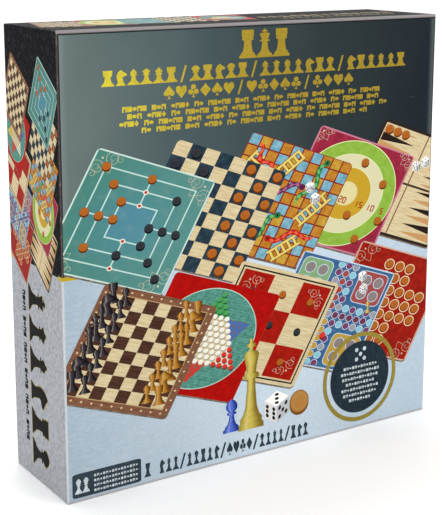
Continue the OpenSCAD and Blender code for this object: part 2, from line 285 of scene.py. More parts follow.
def draughts(paint, x, y):
    dark = speckled(paint, x, y, ink("#2c3f4b"), ink("#1b2a35"))
    return paint.mix(checked(x, y, 8), dark, wood(paint, x, y))


def along_line(x, y, start, end):
    """How far the point lies along a line and to its left, and the line's length."""
    length = math.dist(start, end)
    run = [(b - a) / length for a, b in zip(start, end)]
    from_x, from_y = x - start[0], y - start[1]
    return from_x * run[0] + from_y * run[1], from_y * run[0] - from_x * run[1], length


def ladder(x, y, start, end, half=0.085, bar=0.02, pitch=0.11):
    """Masks of a drawn ladder's timber and of the thin dark line round it."""
    along, aside, length = along_line(x, y, start, end)
    rails = abs(abs(aside) - half)
    rungs = abs(from_step(along - pitch / 2, pitch)).most((abs(aside) - half) * 2)
    near = rails.least(rungs)
    within = (along > 0) * (along < length)
    return (near < bar) * within, (near < bar + 0.012) * within


def snake(x, y, start, end, waves=1.5, sway=0.07, half=0.05):
    """Masks of a drawn snake, of its pale back and of its eye."""
    along, aside, length = along_line(x, y, start, end)
    share = along / length
    off = abs(aside - (share * (waves * 2 * math.pi)).sine() * sway)
    body = half * (1 - abs(share * 1.9 - 1.05) ** 3)
    head = radius((share - 0.97) * length, aside - math.sin(0.97 * waves * 2 * math.pi) * sway)
    skin = ((off < body) * (share > 0) * (share < 0.97)).most(head < half * 1.15)
    stripe = off.math("MULTIPLY", 1 / half) + (along * 60).sine() * 0.3 < 0.35
    return skin, stripe * skin * (share < 0.93), head < half * 0.35


def snakes_ladders(paint, x, y):
    pitch = 0.2
    across = abs(from_step(x + 0.1, pitch))
    up = abs(from_step(y + 0.1, pitch))
    column = ((x + 1) / pitch).floor()
    row = ((y + 1) / pitch).floor()
    warm = speckled(paint, x, y, ink("#ba8433"), ink("#a9681d"))
    cool = speckled(paint, x, y, ink("#82afbc"), ink("#5791a5"))
    tile = paint.mix((column + row) % 2, warm, cool)
    gold = speckled(paint, x, y, ink("#c09a3b"), ink("#ab7f28"))
    tile = paint.mix(((column * 3 + row * 2) % 7) < 0.5, tile, gold)
    coats = [(across.most(up) > 0.088, ink("#7c1f1c"))]
    for start, end in (((-0.75, -0.9), (-0.5, -0.3)), ((-0.3, 0.35), (0.0, 0.9)), ((0.45, -0.25), (0.8, 0.35)),
                       ((0.25, -0.93), (0.62, -0.5)), ((-0.9, 0.2), (-0.7, 0.7))):
        timber, outline = ladder(x, y, start, end)
        coats += [(outline, ink("#6a4418")), (timber, ink("#d6c068"))]
    for start, end, back, belly in (((0.3, 0.0), (0.55, 0.9), "#1f6a3c", "#5fae62"),
                                    ((-0.45, -0.95), (0.1, -0.2), "#1f6a3c", "#5fae62"),
                                    ((0.93, -0.35), (0.05, -0.62), "#a81c18", "#dc5a3c"),
                                    ((-0.6, 0.1), (0.3, 0.35), "#5c2444", "#9a5a80"),
                                    ((-0.85, 0.85), (-0.4, 0.45), "#a81c18", "#dc5a3c")):
        skin, stripe, eye = snake(x, y, start, end)
        coats += [(skin, ink(back)), (stripe, ink(belly)), (eye, ink("#151012"))]
    return paint.layers(tile, *coats)


def target(paint, x, y):
    away = radius(x, y)
    ground = speckled(paint, x, y, ink("#99293f"), ink("#7f1f33"))
    ring = 0.008
    edges = (abs(away - 0.96) < ring).most(abs(away - 0.72) < ring).most(abs(away - 0.48) < ring)
    return paint.layers(
        ground, (away < 0.96, speckled(paint, x, y, ink("#8aaf46"), ink("#7da236"))),
        (away < 0.72, ink("#ccc7a0")), (away < 0.48, ink("#ba9429")),
        (away < 0.22, ink("#d1c792")), (edges, ink("#d2d8a0")), (fold(x, y)[0] > 0.972, ink("#b97288")))


def backgammon(paint, x, y):
    far, near = fold(x, y)
    rows = 12
    pitch = 1.84 / rows
    place = (y + 0.92) / pitch
    off_middle = abs(from_step(place - 0.5, 1.0)) * 2
    run = (0.93 - abs(x)) / 0.72
    point = (off_middle < 1 - run) * (run > 0) * (abs(y) < 0.92)
    shade = (place.floor() + (x > 0)) % 2
    colour = paint.mix(shade, ink("#241a16"), ink("#b98c5a"))
    return paint.layers(wood(paint, x, y), (point, colour), (abs(y) < 0.02, ink("#3a2a20")),
                        (abs(x) < 0.012, ink("#6a4a30")), (far > 0.945, ink("#2a201c")))


def ludo(paint, x, y):
    pitch = 2 / 13
    far, near = fold(x, y)
    a = abs(x)
    b = abs(y)
    ground = speckled(paint, x, y, ink("#41698d"), ink("#2d567f"))
    yard = radius((abs(a - 0.61) - 0.2).most(0.0), (abs(b - 0.61) - 0.2).most(0.0))
    west = paint.mix(y > 0, ink("#653149"), ink("#789e70"))
    east = paint.mix(y > 0, ink("#b0903d"), ink("#964645"))
    nest = radius(abs(a - 0.61) - 0.13, abs(b - 0.61) - 0.13)
    cell = radius(from_step(x, pitch), from_step(y, pitch))
    path = (near < 0.23) * (far < 0.96)
    tint = ((x / pitch).nearest() * 2 + (y / pitch).nearest() * 3) % 5
    stone = paint.mix(tint > 0.5, ink("#8f9199"), ink("#7fb9c6"))
    stone = paint.mix(tint > 2.5, stone, ink("#6e3a62"))
    home = (near < 0.07) * (far > 0.1) * (far < 0.86)
    arm = paint.mix(a > b, paint.mix(y > 0, ink("#b0903d"), ink("#964645")),
                    paint.mix(x > 0, ink("#789e70"), ink("#653149")))
    pale = ink("#bcc8d8")
    return paint.layers(
        ground, (yard < 0.115, pale), (yard < 0.1, paint.mix(x > 0, west, east)), (nest < 0.108, pale),
        (nest < 0.094, ink("#817775")), (path * (cell < 0.07), ink("#c9cfdc")), (path * (cell < 0.06), stone),
        (home * (cell < 0.06), arm), (far > 0.975, pale))


def solitaire(paint, x, y):
    pitch = 0.235
    i = abs((x / pitch).nearest())
    j = abs((y / pitch).nearest())
    place = (i.most(j) < 3.5) * (i.least(j) < 1.5)
    hole = radius(from_step(x, pitch), from_step(y, pitch))
    ground = speckled(paint, x, y, ink("#9c1d0f"), ink("#80150c"))
    return paint.layers(
        ground, (place * (hole < 0.106), ink("#dcc59c")), (place * (hole < 0.088), ink("#863013")),
        (place * (radius(from_step(x, pitch), from_step(y, pitch) - 0.012) < 0.074), ink("#a35b20")),
        (fold(x, y)[0] > 0.972, ink("#c79a86")))


def tic_tac_toe(paint, x, y):
    far, near = fold(x, y)
    inner = 0.88
    red = speckled(paint, x, y, ink("#a3190c"), ink("#8c1208"))
    field = paint.mix(checked(x / inner, y / inner, 3), red, wood(paint, x, y))
    return paint.layers(field, (far > inner, wood(paint, x, y)), (abs(far - 0.925) < 0.014, BLACK))


def star(paint, x, y):
    reach = 0.8
    leans = [x * math.cos(math.radians(a)) + y * math.sin(math.radians(a)) for a in (90, 210, 330)]
    upright = leans[0].most(leans[1]).most(leans[2]) < reach / 2
    inverted = leans[0].least(leans[1]).least(leans[2]) > -reach / 2
    away = radius(x, y)
    ground = speckled(paint, x, y, ink("#ae0e08"), ink("#950a07"))
    disc = speckled(paint, x, y, ink("#539183"), ink("#306e61"), 14.0)
    weave = (abs(from_step(x, 0.05)).most(abs(from_step(y, 0.05))) > 0.02) * 0.3
    disc = paint.mix(weave, disc, ink("#82ab9a"))
    tips = (("#3f8d4c", "#b83a32"), ("#cdb04a", "#46659f"), ("#d2cbb8", "#74507e"))
    field = wood(paint, x, y)
    for lean, (near_tip, far_tip) in zip(leans, tips):
        field = paint.mix(lean > reach / 2, field, ink(near_tip))
        field = paint.mix(lean < -reach / 2, field, ink(far_tip))
    wave = 16 * math.pi / reach
    waves = [(lean * wave).math("COSINE") for lean in leans]
    peg = waves[0] + waves[1] + waves[2]
    field = paint.mix(peg > 1.5, field, ink("#6f5f49"))
    return paint.layers(ground, (away < 0.9, ink("#a9cabb")), (away < 0.885, disc),
                        (upright.most(inverted), field))


def chess(paint, x, y):
    far, near = fold(x, y)
    inner = 0.86
    dark = wood(paint, x, y, ink("#523529"), ink("#33201a"))
    field = paint.mix(checked(x / inner, y / inner, 8), dark, wood(paint, x, y))
    border = wood(paint, x, y, ink("#835a43"), ink("#65402e"))
    inlay = abs(from_step(near, 0.172)) + abs(far - 0.935)
    return paint.layers(field, (far > inner, border), (abs(far - 0.868) < 0.006, ink("#b8996c")),
                        ((far > inner) * (inlay < 0.022), ink("#c9b48e")))


DESIGNS = {"mill": mill, "draughts": draughts, "snakes_ladders": snakes_ladders, "target": target,
           "backgammon": backgammon, "ludo": ludo, "solitaire": solitaire, "tic_tac_toe": tic_tac_toe,
           "star": star, "chess": chess}


# Finishes

INK_GLOSS = 0.02   # almost none, so that dark inks stay dark under the pale sky


def paper_skin(paint, spot, depth=0.00002):
    """The faint tooth of varnished paper."""
    return paint.bump(paint.noise(spot, 2.4, 3.0, 0.6), depth, 0.5)


def cover_print(design):
    """A board pictured on the box's foil paper."""
    paint = Paint("pictured_" + design)
    x, y, _ = paint.split(paint.print_place())
    colour = DESIGNS[design](paint, x, y)
    spot = paint.place()
    gloss = paint.noise(spot, 0.08, 3.0) * 0.1 + 0.3
    return paint.finish(colour=colour, roughness=gloss, normal=paper_skin(paint, spot), gloss=INK_GLOSS)


def board_print(design, mirrored):
    """The same design, full size on a playing board's sheet."""
    paint = Paint(design + "_sheet")
    spot = paint.place()
    across, _, up = paint.split(spot)
    side = -1 if mirrored else 1
    colour = DESIGNS[design](paint, across * (side / HALF_BOARD), (up - BOARD_MIDDLE) / HALF_BOARD)
    rub = paint.noise(spot, 0.03, 4.0)
    tooth = paint.noise(spot, 1.1, 5.0, 0.7)
    colour = paint.mix(tooth.eased(0.35, 0.7) * 0.14, colour, ink("#2a2622"))
    return paint.finish(colour=colour, roughness=rub * 0.16 + 0.34, normal=paper_skin(paint, spot),
                        gloss=0.45, coat=0.15, coat_roughness=0.2)


def flat_ink(name, light, dark=None, metal=0.0, roughness=0.4, flecks=0.35):
    """One printed ink, with the small unevenness of a press."""
    paint = Paint(name)
    spot = paint.place()
    cloud = paint.noise(spot, flecks, 4.0, 0.6)
    colour = paint.mix(cloud.eased(0.3, 0.7), dark or tuple(v * 0.82 for v in light), light)
    return paint.finish(colour=colour, metal=metal, roughness=cloud * 0.14 + (roughness - 0.07),
                        normal=paper_skin(paint, spot), gloss=INK_GLOSS)


def rounded_ink(name, light, dark):
    """Ink for a pictured turned piece: lit from the left, darker to both sides."""
    paint = Paint(name)
    across, up, _ = paint.split(paint.print_place())
    shade = abs(across + 0.25).eased(0.1, 1.1)
    colour = paint.mix(shade, light, dark)
    glint = (1 - abs(across + 0.4).eased(0.0, 0.25)) * 0.25
    colour = paint.mix(glint, colour, CREAM)
    spot = paint.place()
    return paint.finish(colour=colour, roughness=paint.noise(spot, 0.2, 2.0) * 0.1 + 0.33,
                        normal=paper_skin(paint, spot), gloss=INK_GLOSS)


def counter_ink(name, face, ring, edge):
    """Ink for a pictured counter: a flat face with a raised ring, over its darker edge."""
    paint = Paint(name)
    across, up, _ = paint.split(paint.print_place())
    away = radius(across, up)
    band = abs(away - 0.7) < 0.09
    colour = paint.mix((up * 0.5 + 0.5) * 0.5, face, ring)
    colour = paint.layers(colour, (band * 0.6, ring), ((away > 0.9) * 0.5, edge), (across > 2, edge))
    spot = paint.place()
    return paint.finish(colour=colour, roughness=paint.noise(spot, 0.2, 2.0) * 0.1 + 0.33,
                        normal=paper_skin(paint, spot), gloss=INK_GLOSS)


# Printing on the box's walls

LAYER = 0.014
SUNK = 0.01
EDGE_BAND = 1.0


class Wall:
    """A flat wall of the box, measured in mm to the right and up from its lower left corner."""

    def __init__(self, corner, right, up, width, height, body):
        self.corner = Vector(corner)
        self.right = Vector(right)
        self.up = Vector(up)
        self.out = self.right.cross(self.up)
        self.width = width
        self.height = height
        self.body = body

    def point(self, u, v, lift):
        return (self.corner + self.right * u + self.up * v + self.out * lift) * MM

    def trimmed(self, outline):
        """The part of an outline that lies on the flat of the wall, inside its rounded edges."""
        limits = ((0, EDGE_BAND, 1), (0, self.width - EDGE_BAND, -1),
                  (1, EDGE_BAND, 1), (1, self.height - EDGE_BAND, -1))
        for axis, limit, side in limits:
            kept = []
            for start, end in zip(outline, outline[1:] + outline[:1]):
                a = (start[axis] - limit) * side
                b = (end[axis] - limit) * side
                if a >= 0:
                    kept.append(start)
                if a * b < 0:
                    share = a / (a - b)
                    kept.append(tuple(p + (q - p) * share for p, q in zip(start, end)))
            outline = kept
            if len(outline) < 3:
                return []
        return outline


class Print:
    """Thin printed shapes of one ink on one wall. An outline is a list of (u, v, s, t): its place
    on the wall in mm and in the shape's own map, counter-clockwise as seen from outside."""

    def __init__(self, name, wall, material, slot):
        self.name = name
        self.wall = wall
        self.material = material
        self.slot = slot
        self.outlines = []

    def add(self, layer, *outlines):
        self.outlines += [(layer, outline) for outline in outlines]
        return self

    def blocks(self):
        """The trimmed outlines, each with its corners' keys; and a key for each group that shares sides."""
        blocks = []
        for layer, outline in self.outlines:
            outline = self.wall.trimmed(outline)
            keys = [(layer, round(u, 4), round(v, 4)) for u, v, _, _ in outline]
            kept = [i for i in range(len(keys)) if keys[i] != keys[i - 1]]
            if len(kept) > 2:
                blocks.append(([outline[i] for i in kept], [keys[i] for i in kept]))
        sides = {(keys[i - 1], keys[i]): k for k, (_, keys) in enumerate(blocks) for i in range(len(keys))}
        group = list(range(len(blocks)))

        def first(k):
            while group[k] != k:
                k = group[k]
            return k

        for (start, end), k in sides.items():
            if (end, start) in sides:
                group[first(k)] = first(sides[end, start])
        return [(*block, first(k)) for k, block in enumerate(blocks)], sides

    def make(self):
        """Builds each outline as a thin closed block; blocks that share a side grow together."""
        shapes = bmesh.new()
        place = shapes.loops.layers.uv.new(PRINT_MAP)
        blocks, sides = self.blocks()
        corners = {}

        def corner(group, key, lift):
            found = (group, key, lift)
            if found not in corners:
                corners[found] = shapes.verts.new(self.wall.point(key[1], key[2], lift))
            return corners[found]

        for outline, keys, group in blocks:
            top = [corner(group, key, key[0] * LAYER) for key in keys]
            low = [corner(group, key, -SUNK) for key in keys]
            spots = {end: Vector(spot[2:]) for ends in (top, low) for end, spot in zip(ends, outline)}
            faces = [shapes.faces.new(top), shapes.faces.new(low[::-1])]
            for i in range(len(top)):
                if (keys[i], keys[i - 1]) not in sides:
                    faces.append(shapes.faces.new((top[i - 1], low[i - 1], low[i], top[i])))
            for face in faces:
                for loop in face.loops:
                    loop[place].uv = spots[loop.vert]
        mesh = bpy.data.meshes.new(self.name)
        shapes.to_mesh(mesh)
        shapes.free()
        return add_piece(self.name, mesh, self.material, self.wall.body)


def add_piece(name, mesh, material, body):
    made = bpy.data.objects.new(name, mesh)
    bpy.context.scene.collection.objects.link(made)
    mesh.materials.append(material)
    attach(made, body)
    return made


class Field:
    """A slanted frame on a wall, with its own coordinates from -1 to 1: how a board is pictured."""

    def __init__(self, corner, along, down):
        self.corner = corner
        self.along = along
        self.down = down

    def at(self, s, t):
        a = (s + 1) / 2
        d = (1 - t) / 2
        return (self.corner[0] + self.along[0] * a + self.down[0] * d,
                self.corner[1] + self.along[1] * a + self.down[1] * d)

    def moved(self, du, dv):
        return Field((self.corner[0] + du, self.corner[1] + dv), self.along, self.down)

    def sheet(self, rounding=0.07, steps=4):
        """The board's outline with rounded corners."""
        outline = []
        for quarter, (sx, sy) in enumerate(((1, 1), (-1, 1), (-1, -1), (1, -1))):
            for step in range(steps + 1):
                angle = (quarter + step / steps) * math.pi / 2
                s = sx * (1 - rounding) + rounding * math.cos(angle)
                t = sy * (1 - rounding) + rounding * math.sin(angle)
                outline.append((*self.at(s, t), s, t))
        return outline

    def spot(self, s, t, size, shift=(0, 0), mark=0, sides=20):
        """A round spot lying on the board, such as a counter; mark moves its map aside."""
        outline = []
        for step in range(sides):
            angle = 2 * math.pi * step / sides
            a, b = math.cos(angle), math.sin(angle)
            u, v = self.at(s + size * a, t + size * b)
            outline.append((u + shift[0], v + shift[1], a + mark, b))
        return outline

    def ribbon(self, path, width):
        """Four-sided pieces of a ribbon along a path in board coordinates; width(k) tapers it."""
        parts = []
        last = len(path) - 1
        edges = []
        for k, (s, t) in enumerate(path):
            before = path[max(k - 1, 0)]
            after = path[min(k + 1, last)]
            run = Vector((after[0] - before[0], after[1] - before[1])).normalized()
            half = width(k / last) / 2
            edges.append(((s - run.y * half, t + run.x * half), (s + run.y * half, t - run.x * half)))
        for (left_a, right_a), (left_b, right_b) in zip(edges, edges[1:]):
            corners = (left_a, right_a, right_b, left_b)
            parts.append([(*self.at(*c), m, 0.0) for c, m in zip(corners, (-1, 1, 1, -1))])
        return parts


def disc(u, v, size, mark=0, sides=32, squash=1.0):
    outline = []
    for step in range(sides):
        angle = 2 * math.pi * step / sides
        a, b = math.cos(angle), math.sin(angle)
        outline.append((u + size * a, v + size * squash * b, a + mark, b))
    return outline


def bar(u0, u1, v0, v1, mark=0):
    return [(u0, v0, mark - 1, -1), (u1, v0, mark + 1, -1), (u1, v1, mark + 1, 1), (u0, v1, mark - 1, 1)]


def ring(u, v, outer, inner, sides=48):
    """A ring as a row of four-sided pieces."""
    parts = []
    for step in range(sides):
        a = 2 * math.pi * step / sides
        b = 2 * math.pi * (step + 1) / sides
        corners = ((inner, a), (outer, a), (outer, b), (inner, b))
        parts.append([(u + r * math.cos(w), v + r * math.sin(w), math.cos(w), math.sin(w))
                      for r, w in corners])
    return parts


# Outlines of playing pieces as rows of (height, left, right), in shares of the piece's height

def even(*rows):
    return [(height, -half, half) for height, half in rows]


FIGURES = {
    "king": even((0, .2), (.05, .2), (.08, .17), (.12, .175), (.16, .13), (.25, .09), (.45, .066),
                 (.56, .062), (.575, .12), (.61, .12), (.63, .075), (.68, .08), (.82, .12), (.855, .1),
                 (.87, .03), (.905, .03), (.91, .07), (.945, .07), (.95, .03), (1, .03)),
    "queen": even((0, .21), (.06, .21), (.09, .18), (.13, .18), (.17, .13), (.27, .09), (.48, .066),
                  (.59, .062), (.605, .12), (.64, .12), (.66, .075), (.71, .08), (.86, .14), (.88, .1),
                  (.92, .06), (.94, .035), (.97, .045), (1, .015)),
    "bishop": even((0, .22), (.07, .22), (.1, .185), (.14, .185), (.19, .13), (.3, .09), (.5, .066),
                   (.6, .062), (.615, .13), (.655, .13), (.675, .07), (.73, .1), (.79, .11), (.86, .09),
                   (.92, .045), (.935, .03), (.955, .04), (.98, .035), (1, .012)),
    "rook": even((0, .27), (.08, .27), (.12, .22), (.17, .22), (.22, .16), (.4, .125), (.62, .115),
                 (.64, .18), (.7, .18), (.72, .16), (.78, .19), (1, .19)),
    "pawn": even((0, .26), (.08, .26), (.12, .2), (.17, .2), (.23, .13), (.36, .085), (.52, .065),
                 (.54, .14), (.59, .14), (.61, .08), (.645, .11), (.7, .155), (.78, .175), (.86, .155),
                 (.94, .1), (.985, .045), (1, .01)),
    "knight": [(0, -.24, .24), (.07, -.24, .24), (.11, -.19, .19), (.16, -.19, .19), (.21, -.15, .15),
               (.32, -.16, .14), (.42, -.19, .11), (.5, -.21, .1), (.57, -.22, .13), (.63, -.215, .3),
               (.68, -.205, .34), (.74, -.19, .32), (.81, -.16, .23), (.88, -.12, .14), (.95, -.05, .08),
               (1, .0, .03)]}


def pictured(figure, u, v, height, wide=1.0):
    """A standing piece as strips whose own map runs from -1 to 1 across it."""
    strips = []
    rows = FIGURES[figure]
    for (h0, l0, r0), (h1, l1, r1) in zip(rows, rows[1:]):
        corners = ((l0, h0, -1), (r0, h0, 1), (r1, h1, 1), (l1, h1, -1))
        strips.append([(u + x * height * wide, v + h * height, s, h) for x, h, s in corners])
    return strips


def outline_of(figure):
    """The same piece as one closed outline of (x, y) in shares of its height."""
    rows = FIGURES[figure]
    return [(r, h) for h, _, r in rows] + [(l, h) for h, l, _ in reversed(rows)]


def arc(x, y, size, start, end, steps=8):
    return [(x + size * math.cos(math.radians(start + (end - start) * k / steps)),
             y + size * math.sin(math.radians(start + (end - start) * k / steps)))
            for k in range(steps + 1)]


# Card suits and small ornaments, one unit high
STEM = [(.14, 0), (.04, .14), (.03, .34), (-.03, .34), (-.04, .14), (-.14, 0)]
ORNAMENTS = {
    "diamond": [[(0, 0), (.36, .5), (0, 1), (-.36, .5)]],
    "heart": [[(0, 0), (.4, .5)] + arc(.21, .72, .21, -10, 180, 9) + arc(-.21, .72, .21, 0, 190, 9)
              + [(-.4, .5)]],
    "spade": [STEM, [(.1, .3)] + arc(.2, .42, .2, -110, 60, 8) + [(0, 1)] + arc(-.2, .42, .2, 120, 290, 8)
              + [(-.1, .3)]],
    "club": [STEM, arc(.21, .42, .2, 0, 330, 11), arc(-.21, .42, .2, 0, 330, 11),
             arc(0, .78, .2, 0, 330, 11)],
    "lozenge": [[(0, .1), (.13, .5), (0, .9), (-.13, .5)]],
    "bead": [arc(0, .5, .3, 0, 330, 11)],
    "dash": [[(-.5, .34), (.5, .34), (.5, .66), (-.5, .66)]],
    "brick": [[(-.4, .06), (.4, .06), (.4, .94), (-.4, .94)]],
    "arch": [[(-.4, .05), (-.14, .05), (-.14, .55), (-.4, .55)], [(.14, .05), (.4, .05), (.4, .55), (.14, .55)],
             [(-.4, .55), (.4, .55), (.4, .95), (-.4, .95)]],
    "slash": [[(-.26, -.05), (-.1, -.05), (.26, 1.05), (.1, 1.05)]],
    **{figure: [outline_of(figure)] for figure in FIGURES}}


def ornament(kind, u, v, size, wide=None, turned=False):
    """An ornament standing at (u, v), or lying with its head to the right if it is turned. Its width
    is its own, or a share of its height if wide is given; a slash keeps its own."""
    own = 2 * max(x for points in ORNAMENTS[kind] for x, _ in points)
    stretch = wide / own if wide and kind != "slash" else 1.0
    parts = []
    for points in ORNAMENTS[kind]:
        placed = [(x * size * stretch, y * size) for x, y in points]
        parts.append([(u + y, v - x, x, y) if turned else (u + x, v + y, x, y) for x, y in placed])
    return parts


def line_of(kinds, start, end, base, size, wide=None, turned=False):
    """Ornaments spread evenly from start to end, across the wall or down it; a gap leaves a place free."""
    parts = []
    pitch = (end - start) / len(kinds)
    for k, kind in enumerate(kinds):
        place = start + (k + 0.5) * pitch
        u, v = (base, place) if turned else (place, base)
        if kind != "gap":
            parts += ornament(kind, u, v, size, wide, turned)
    return parts


def corner_curls(field, inset=0.8, size=0.12):
    """Two mirrored curls with a bud between them in each corner of a pictured board."""
    parts = []
    for sx, sy in ((1, 1), (-1, 1), (-1, -1), (1, -1)):

        def placed(out, aside):
            return sx * (inset + (out - aside) * 0.7), sy * (inset + (out + aside) * 0.7)

        for hand in (-1, 1):
            for turns, scale, lean in ((1.6, 1.0, 0.0), (1.1, 0.55, 0.9)):
                path = []
                for k in range(33):
                    share = k / 32
                    angle = 2 * math.pi * turns * share
                    reach = size * scale * (1 - 0.85 * share)
                    out = size * (lean * 0.4 - lean) + reach * math.cos(angle)
                    aside = size * (1.15 + lean * 1.3) * scale ** 0.3 - reach * math.sin(angle)
                    path.append(placed(out, hand * aside))
                parts += field.ribbon(path, lambda share: 0.0068 - share * 0.0036)
            stem = [(0.0, 1.15 - 0.2), (-0.9, 0.5), (-1.6, 0.0)]
            parts += field.ribbon([placed(size * out, size * hand * aside) for out, aside in stem],
                                  lambda share: 0.005)
        parts.append(field.spot(*placed(size * 0.8, 0.0), 0.018, sides=10))
    return parts


PIPS = {1: [(0, 0)], 2: [(-1, 1), (1, -1)], 3: [(-1, 1), (0, 0), (1, -1)],
        4: [(-1, 1), (1, 1), (-1, -1), (1, -1)], 5: [(-1, 1), (1, 1), (0, 0), (-1, -1), (1, -1)],
        6: [(-1, 1), (1, 1), (-1, 0), (1, 0), (-1, -1), (1, -1)]}


def pictured_die(u, v, size, numbers):
    """Three faces of a die seen over its near corner at (u, v): faces, then pips."""
    slope = 0.34 * size
    wide = 0.62 * size
    tall = 0.72 * size
    sides = (Field((u - wide, v + slope + tall), (wide, -slope), (0, -tall)),
             Field((u, v + tall), (wide, slope), (0, -tall)),
             Field((u, v + tall + 2 * slope), (wide, -slope), (-wide, -slope)))
    faces = []
    pips = []
    for mark, (side, number) in enumerate(zip(sides, numbers)):
        faces.append([(a, b, s * 0.5 + mark * 4, t) for a, b, s, t in side.sheet(0.14, 3)])
        pips += [side.spot(0.52 * i, 0.52 * j, 0.24, sides=12) for i, j in PIPS[number]]
    return faces, pips


# Sizes taken from the frame, in mm

def box_mm(node):
    low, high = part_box(node)
    return low / MM, high / MM


LID_LOW, LID_HIGH = box_mm("lid_wrap")
BASE_LOW, BASE_HIGH = box_mm("base_wrap")
BOARD_LOW, BOARD_HIGH = box_mm("board_1_core")
HALF_BOARD = (BOARD_HIGH.x - BOARD_LOW.x) / 2
BOARD_MIDDLE = (BOARD_HIGH.z + BOARD_LOW.z) / 2
FACE = LID_HIGH.x - LID_LOW.x
LID_DEPTH = LID_HIGH.y - LID_LOW.y
BASE_FACE = BASE_HIGH.x - BASE_LOW.x
HORIZON = 132   # height at which the dark upper print meets the silver

RIGHT, BACK, UP = (1, 0, 0), (0, 1, 0), (0, 0, 1)
LEFT, FRONT = (-1, 0, 0), (0, -1, 0)
COVER = Wall(LID_LOW, RIGHT, UP, FACE, FACE, "lid")
LEFT_SIDE = Wall((LID_LOW.x, LID_HIGH.y, 0), FRONT, UP, LID_DEPTH, FACE, "lid")
RIGHT_SIDE = Wall((LID_HIGH.x, LID_LOW.y, 0), BACK, UP, LID_DEPTH, FACE, "lid")
TOP = Wall((LID_LOW.x, LID_LOW.y, LID_HIGH.z), RIGHT, BACK, FACE, LID_DEPTH, "lid")
UNDERSIDE = Wall((LID_LOW.x, LID_HIGH.y, 0), RIGHT, FRONT, FACE, LID_DEPTH, "lid")
REAR = Wall((BASE_HIGH.x, BASE_HIGH.y, BASE_LOW.z), LEFT, UP, BASE_FACE, BASE_FACE, "base")


# The paper that wraps the box

def wrap_paper(name, low, high, dark_above):
    """Satin foil paper: slate above the horizon, embossed silver below, rubbed pale at the edges, with painted
    reflection across the box and painted highlights near the edges.
    """
    paint = Paint(name)
    spot = paint.place()
    x, y, z = paint.split(spot)
    fine = paint.noise(spot, 0.9, 4.0, 0.6)
    broad = paint.noise(spot, 0.02, 3.0, 0.5)
    brushed = paint.noise(paint.join(x * 0.25, y * 0.25, z * 2.4), 0.6, 3.0, 0.6)
    emboss = paint.noise(paint.join(x * 0.9, y * 0.9, z * 1.3), 0.6, 3.0, 0.55, 0.6)
    # Painted reflection of the lights on the foil: the silver and slate ramps below change shade across the box along
    # x, the slate lighter on the left.
    painted_sheen_across = x * 0.0038 + 0.5 + (broad - 0.5) * 0.2

    silver = paint.ramp(painted_sheen_across, (0.0, ink("#a0b0bd")), (0.5, ink("#c6d5e0")), (1.0, ink("#b0c0cd")))
    silver = paint.mix(emboss.eased(0.3, 0.7) * 0.17, silver, ink("#7f919f"))
    slate = paint.ramp(painted_sheen_across, (0.0, ink("#616f6d")), (0.33, ink("#445255")), (0.66, ink("#2d3738")),
                       (1.0, ink("#1e242b")))
    middle = (low + high) / 2
    reach = (high - low) / 2
    gaps = [reach[i] - abs(axis - middle[i]) for i, axis in enumerate((x, y, z))]
    front = (gaps[1] < 0.7) * (y < middle.y)
    panel = front * (gaps[0] > 1.4) * (gaps[2] > 2.5)
    # Painted highlight: the slate is lighter in a band a few mm in from the left and right edges.
    slate = paint.mix((1 - gaps[0].eased(1.4, 6.0)) * 0.2, slate, ink("#98a4a2"))
    slate = paint.mix(panel, ink("#101114"), slate)
    ripple = paint.noise(paint.join(x * 0.3, y * 0.5, z * 1.2), 0.7, 3.0, 0.6, 0.4)
    silver = paint.mix(ripple.eased(0.4, 0.66) * 0.12, silver, ink("#dde6ea"))
    crinkle = paint.noise(paint.join(x, y * 0.9, z * 0.8), 0.5, 4.0, 0.7)
    end_wall = gaps[0] < 0.6
    silver = paint.mix(end_wall * 0.75, silver, ink("#b2b1b3"))
    silver = paint.mix(end_wall * crinkle.eased(0.36, 0.64) * 0.5, silver, ink("#74757c"))
    upright = 1 - (gaps[0] + gaps[1]).eased(0.4, 1.3)
    silver = paint.mix(upright * 0.8, silver, ink("#d9dcdd"))
    slate = paint.mix(end_wall * crinkle.eased(0.5, 0.75) * 0.25, slate, ink("#6c6e72"))
    slate = paint.mix(upright * 0.5, slate, ink("#6d5f58"))
    upper = (z > HORIZON) * dark_above
    colour = paint.mix(upper, silver, slate)
    gold_line = (abs(z - (HORIZON - 0.2)) < 1.1) * (1 - end_wall * (gaps[1] > 5)) * dark_above
    colour = paint.mix(gold_line, colour, GOLD)
    # Painted highlight along the rounded edges where the front and back faces meet the top and bottom.
    painted_rim_highlight = 1 - (gaps[1] + gaps[2]).eased(1.1, 2.2)
    colour = paint.mix(painted_rim_highlight * 0.7, colour, ink("#a9a2a2"))

    nearest = gaps[0].least(gaps[1])
    farther = gaps[0].most(gaps[1])
    edge = nearest.most(farther.least(gaps[2]))
    scuff = paint.noise(spot, 0.35, 5.0, 0.7)
    worn = 1 - (edge + (scuff - 0.42) * 2.2).eased(0.0, 0.6)
    colour = paint.mix(worn * 0.5, colour, ink("#a9aaac"))
    hair = abs(paint.noise(paint.join(x * 0.06, y, z * 0.5 + x * 0.2), 0.5, 1.0) - 0.5) < 0.002
    colour = paint.mix(hair * (scuff > 0.62) * 0.3, colour, ink("#a9aaac"))

    scratch = paint.noise(paint.join(x * 0.9, y * 0.9, z * 0.12), 0.8, 2.0, 0.5)
    rough = 0.42 + fine * 0.08 + (scratch > 0.68) * 0.06 + worn * 0.25
    relief = (emboss * 0.6 + crinkle * end_wall * 3.0 + ripple * 0.3) * (1 - upper * 0.8) + brushed * 0.3 + fine * 0.12
    normal = paint.bump(relief, 0.0003, 0.7)
    metal = (0.3 - upper * 0.28 + gold_line * 0.4) * (1 - worn)
    return paint.finish(colour=colour, roughness=rough, metal=metal, normal=normal, gloss=0.01)


